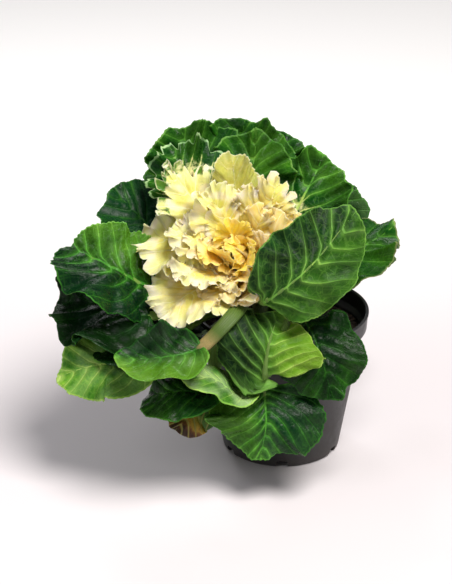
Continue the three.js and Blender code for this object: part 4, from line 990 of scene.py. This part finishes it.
# ------------------------------------------------------------------ potting mix
def soil_piece():
    rnd = np.random.RandomState(5)
    rs = np.linspace(0, 1, 64)
    R0, nr, nm = 47.2, 64, 210
    uu, tt, rings = [0.0], [0.0], [[0]]
    for k in range(1, nr + 1):
        n = max(6, int(round(nm * k / nr)))
        rings.append(list(range(len(uu), len(uu) + n)))
        uu += [k / nr] * n
        tt += [(j + .5 * (k % 2)) / n for j in range(n)]
    u, t = np.array(uu), np.array(tt) * 2 * np.pi
    X, Y = R0 * u * np.cos(t), R0 * u * np.sin(t)
    Z = 76.0 + 3.6 * (1 - u ** 2)
    rough = .9 * waves(X, Y, rnd, 16, 8) + .55 * waves(X, Y, rnd, 5.5, 12) + .45 * waves(X, Y, rnd, 2.4, 16)
    Z = Z + rough * np.clip((1 - u) * 8, .3, 1)
    X, Y = X + .5 * waves(X, Y, rnd, 3, 9) * (u < .98), Y + .5 * waves(Y, X, rnd, 3, 9) * (u < .98)
    n0 = len(u)
    rim = rings[-1]
    lowr = np.stack([33.0 * np.cos(t[rim]), 33.0 * np.sin(t[rim]), np.full(len(rim), 2.6)], 1)
    verts = np.concatenate([np.stack([X, Y, Z], 1), lowr, [[0, 0, 2.6]]])
    tris = [(0, rings[1][j], rings[1][(j + 1) % len(rings[1])]) for j in range(len(rings[1]))]
    for k in range(1, nr):
        a, b = rings[k], rings[k + 1]
        na, nb, i, j = len(a), len(b), 0, 0
        while i < na or j < nb:
            if (j < nb and (j + 1) / nb <= (i + 1) / na) or i >= na:
                tris.append((a[i % na], b[j % nb], b[(j + 1) % nb]))
                j += 1
            else:
                tris.append((a[i % na], b[j % nb], a[(i + 1) % na]))
                i += 1
    m = len(rim)
    for j in range(m):
        k = (j + 1) % m
        tris += [(rim[j], n0 + j, rim[k]), (rim[k], n0 + j, n0 + k), (n0 + m, n0 + k, n0 + j)]
    V, F = [verts], [np.array(tris)]
    kind = [np.zeros(len(tris), int)]
    off = len(verts)
    # crumbs of peat and bark, and a few white perlite grains, pressed into the top
    ico = bmesh.new()
    bmesh.ops.create_icosphere(ico, subdivisions=2, radius=1.0)
    iv = np.array([w.co[:] for w in ico.verts])
    fi = np.array([[w.index for w in g.verts] for g in ico.faces])
    ico.free()
    for i in range(420):
        perl = i % 9 == 0
        r = R0 * math.sqrt(rnd.uniform(0, .96))
        a = rnd.uniform(0, 2 * np.pi)
        s = rnd.uniform(.5, 1.1) if perl else rnd.uniform(.5, 2.0)
        sc = np.array([1, rnd.uniform(.6, 1), rnd.uniform(.5, .9)]) * s if perl or i % 4 else np.array([rnd.uniform(2.0, 3.6), .7, .5]) * s * .8
        p = iv * (1 + .22 * np.sin(iv @ rnd.normal(size=(3, 1)) * 4 + rnd.uniform(0, 6)) + .12 * np.sin(iv @ rnd.normal(size=(3, 1)) * 7))
        p = p * sc
        ca, sa = math.cos(a * 5), math.sin(a * 5)
        p = np.stack([p[:, 0] * ca - p[:, 1] * sa, p[:, 0] * sa + p[:, 1] * ca, p[:, 2]], 1)
        x, y = r * math.cos(a), r * math.sin(a)
        lim = 47.6 - 1.2 * max(sc)
        if math.hypot(x, y) > lim:
            x, y = x * lim / r, y * lim / r
        z = 76.0 + 3.6 * (1 - (x * x + y * y) / R0 ** 2) + .25 * s
        V.append(p + [x, y, z])
        F.append(fi + off)
        kind.append(np.full(len(fi), 1 if perl else 0))
        off += len(iv)
    T = Tree("peat")
    oc = T.new("ShaderNodeTexCoord").outputs["Object"]
    n1 = T.noise(oc, 260, 5, .7)
    n2 = T.noise(oc, 1400, 3, .7)
    col = T.ramp(n1, [(0.0, (.006, .004, .003)), (.42, (.018, .011, .007)), (.62, (.045, .028, .016)), (1.0, (.13, .085, .045))])
    T.set(Base_Color=col, Roughness=T.m("MULTIPLY_ADD", n2, .2, .72), Normal=T.bump(T.m("ADD", n1, n2), .0016, 1.0), Specular_IOR_Level=.25)
    Q = Tree("perlite")
    oc = Q.new("ShaderNodeTexCoord").outputs["Object"]
    m1 = Q.noise(oc, 1200, 3, .6)
    Q.set(Base_Color=Q.mix(m1, (.42, .38, .32), (.80, .78, .72)), Roughness=Q.m("MULTIPLY_ADD", m1, .2, .7), Normal=Q.bump(m1, .0006, .8))
    o = mesh_object("peat_mix", np.concatenate(V), np.concatenate(F), [T.mat, Q.mat], None, np.concatenate(kind))
    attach(o, "root")
    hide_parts("potting_mix")


stem_piece()
pot_piece()
soil_piece()

# ------------------------------------------------------------------ floor, light, camera
F = Tree("studio_floor")
fc = F.new("ShaderNodeTexCoord").outputs["Object"]
fn = F.noise(fc, 3.0, 3)
fg = F.noise(fc, 700, 2)
far = F.new("ShaderNodeSeparateXYZ")
F.put(fc, far.inputs[0])
# painted light: the floor turns paler and whiter towards the back, standing in for the lamp light that falls off there
F.set(Base_Color=F.mix(F.step(far.outputs[1], .05, .60), F.mix(fn, (.66, .615, .64), (.72, .68, .70)), (.96, .95, .955)), Roughness=F.m("MULTIPLY_ADD", fg, .1, .55),
      Normal=F.bump(fg, .0001, .3))
me = bpy.data.meshes.new("studio_floor")
S = 4.0
me.from_pydata([(-S, -S, 0), (S, -S, 0), (S, S, 0), (-S, S, 0)], [], [(0, 1, 2, 3)])
me.materials.append(F.mat)
floor = bpy.data.objects.new("studio_floor", me)
bpy.context.scene.collection.objects.link(floor)

world = bpy.data.worlds.new("studio")
bpy.context.scene.world = world
world.use_nodes = True
world.node_tree.nodes["Background"].inputs[0].default_value = (1.0, .965, .985, 1)
world.node_tree.nodes["Background"].inputs[1].default_value = .21


def area(name, at, to, size, power, color=(1, 1, 1)):
    d = bpy.data.lights.new(name, "AREA")
    d.shape = "DISK"
    d.size = size
    d.energy = power
    d.color = color
    o = bpy.data.objects.new(name, d)
    bpy.context.scene.collection.objects.link(o)
    o.location = at
    o.rotation_euler = (Vector(to) - Vector(at)).to_track_quat("-Z", "Y").to_euler()


HEART = (-.03, -.03, .12)
area("key", (.53, -.69, 1.77), HEART, .96, 54.0, (1.0, .975, .93))
area("fill", (-.85, -.75, .85), HEART, .6, 3.0, (.97, .98, 1.0))
area("back", (-.35, .80, .85), HEART, .4, 3.0, (.98, .99, 1.0))

TARGET, ELEV, DIST = Vector((-.034, -.010, .105)), 24 * RAD, 1.25
back = Vector((0, -math.cos(ELEV), math.sin(ELEV)))
cam = bpy.data.cameras.new("camera")
camera = bpy.data.objects.new("camera", cam)
bpy.context.scene.collection.objects.link(camera)
camera.location = TARGET + back * DIST
camera.rotation_euler = (-back).to_track_quat("-Z", "Y").to_euler()
cam.sensor_fit = "AUTO"
cam.lens = 50
cam.sensor_width = cam.lens * (.270 * 584 / 452) / DIST
cam.clip_start = .01
bpy.context.scene.camera = camera
bpy.context.scene.view_settings.view_transform = "Standard"
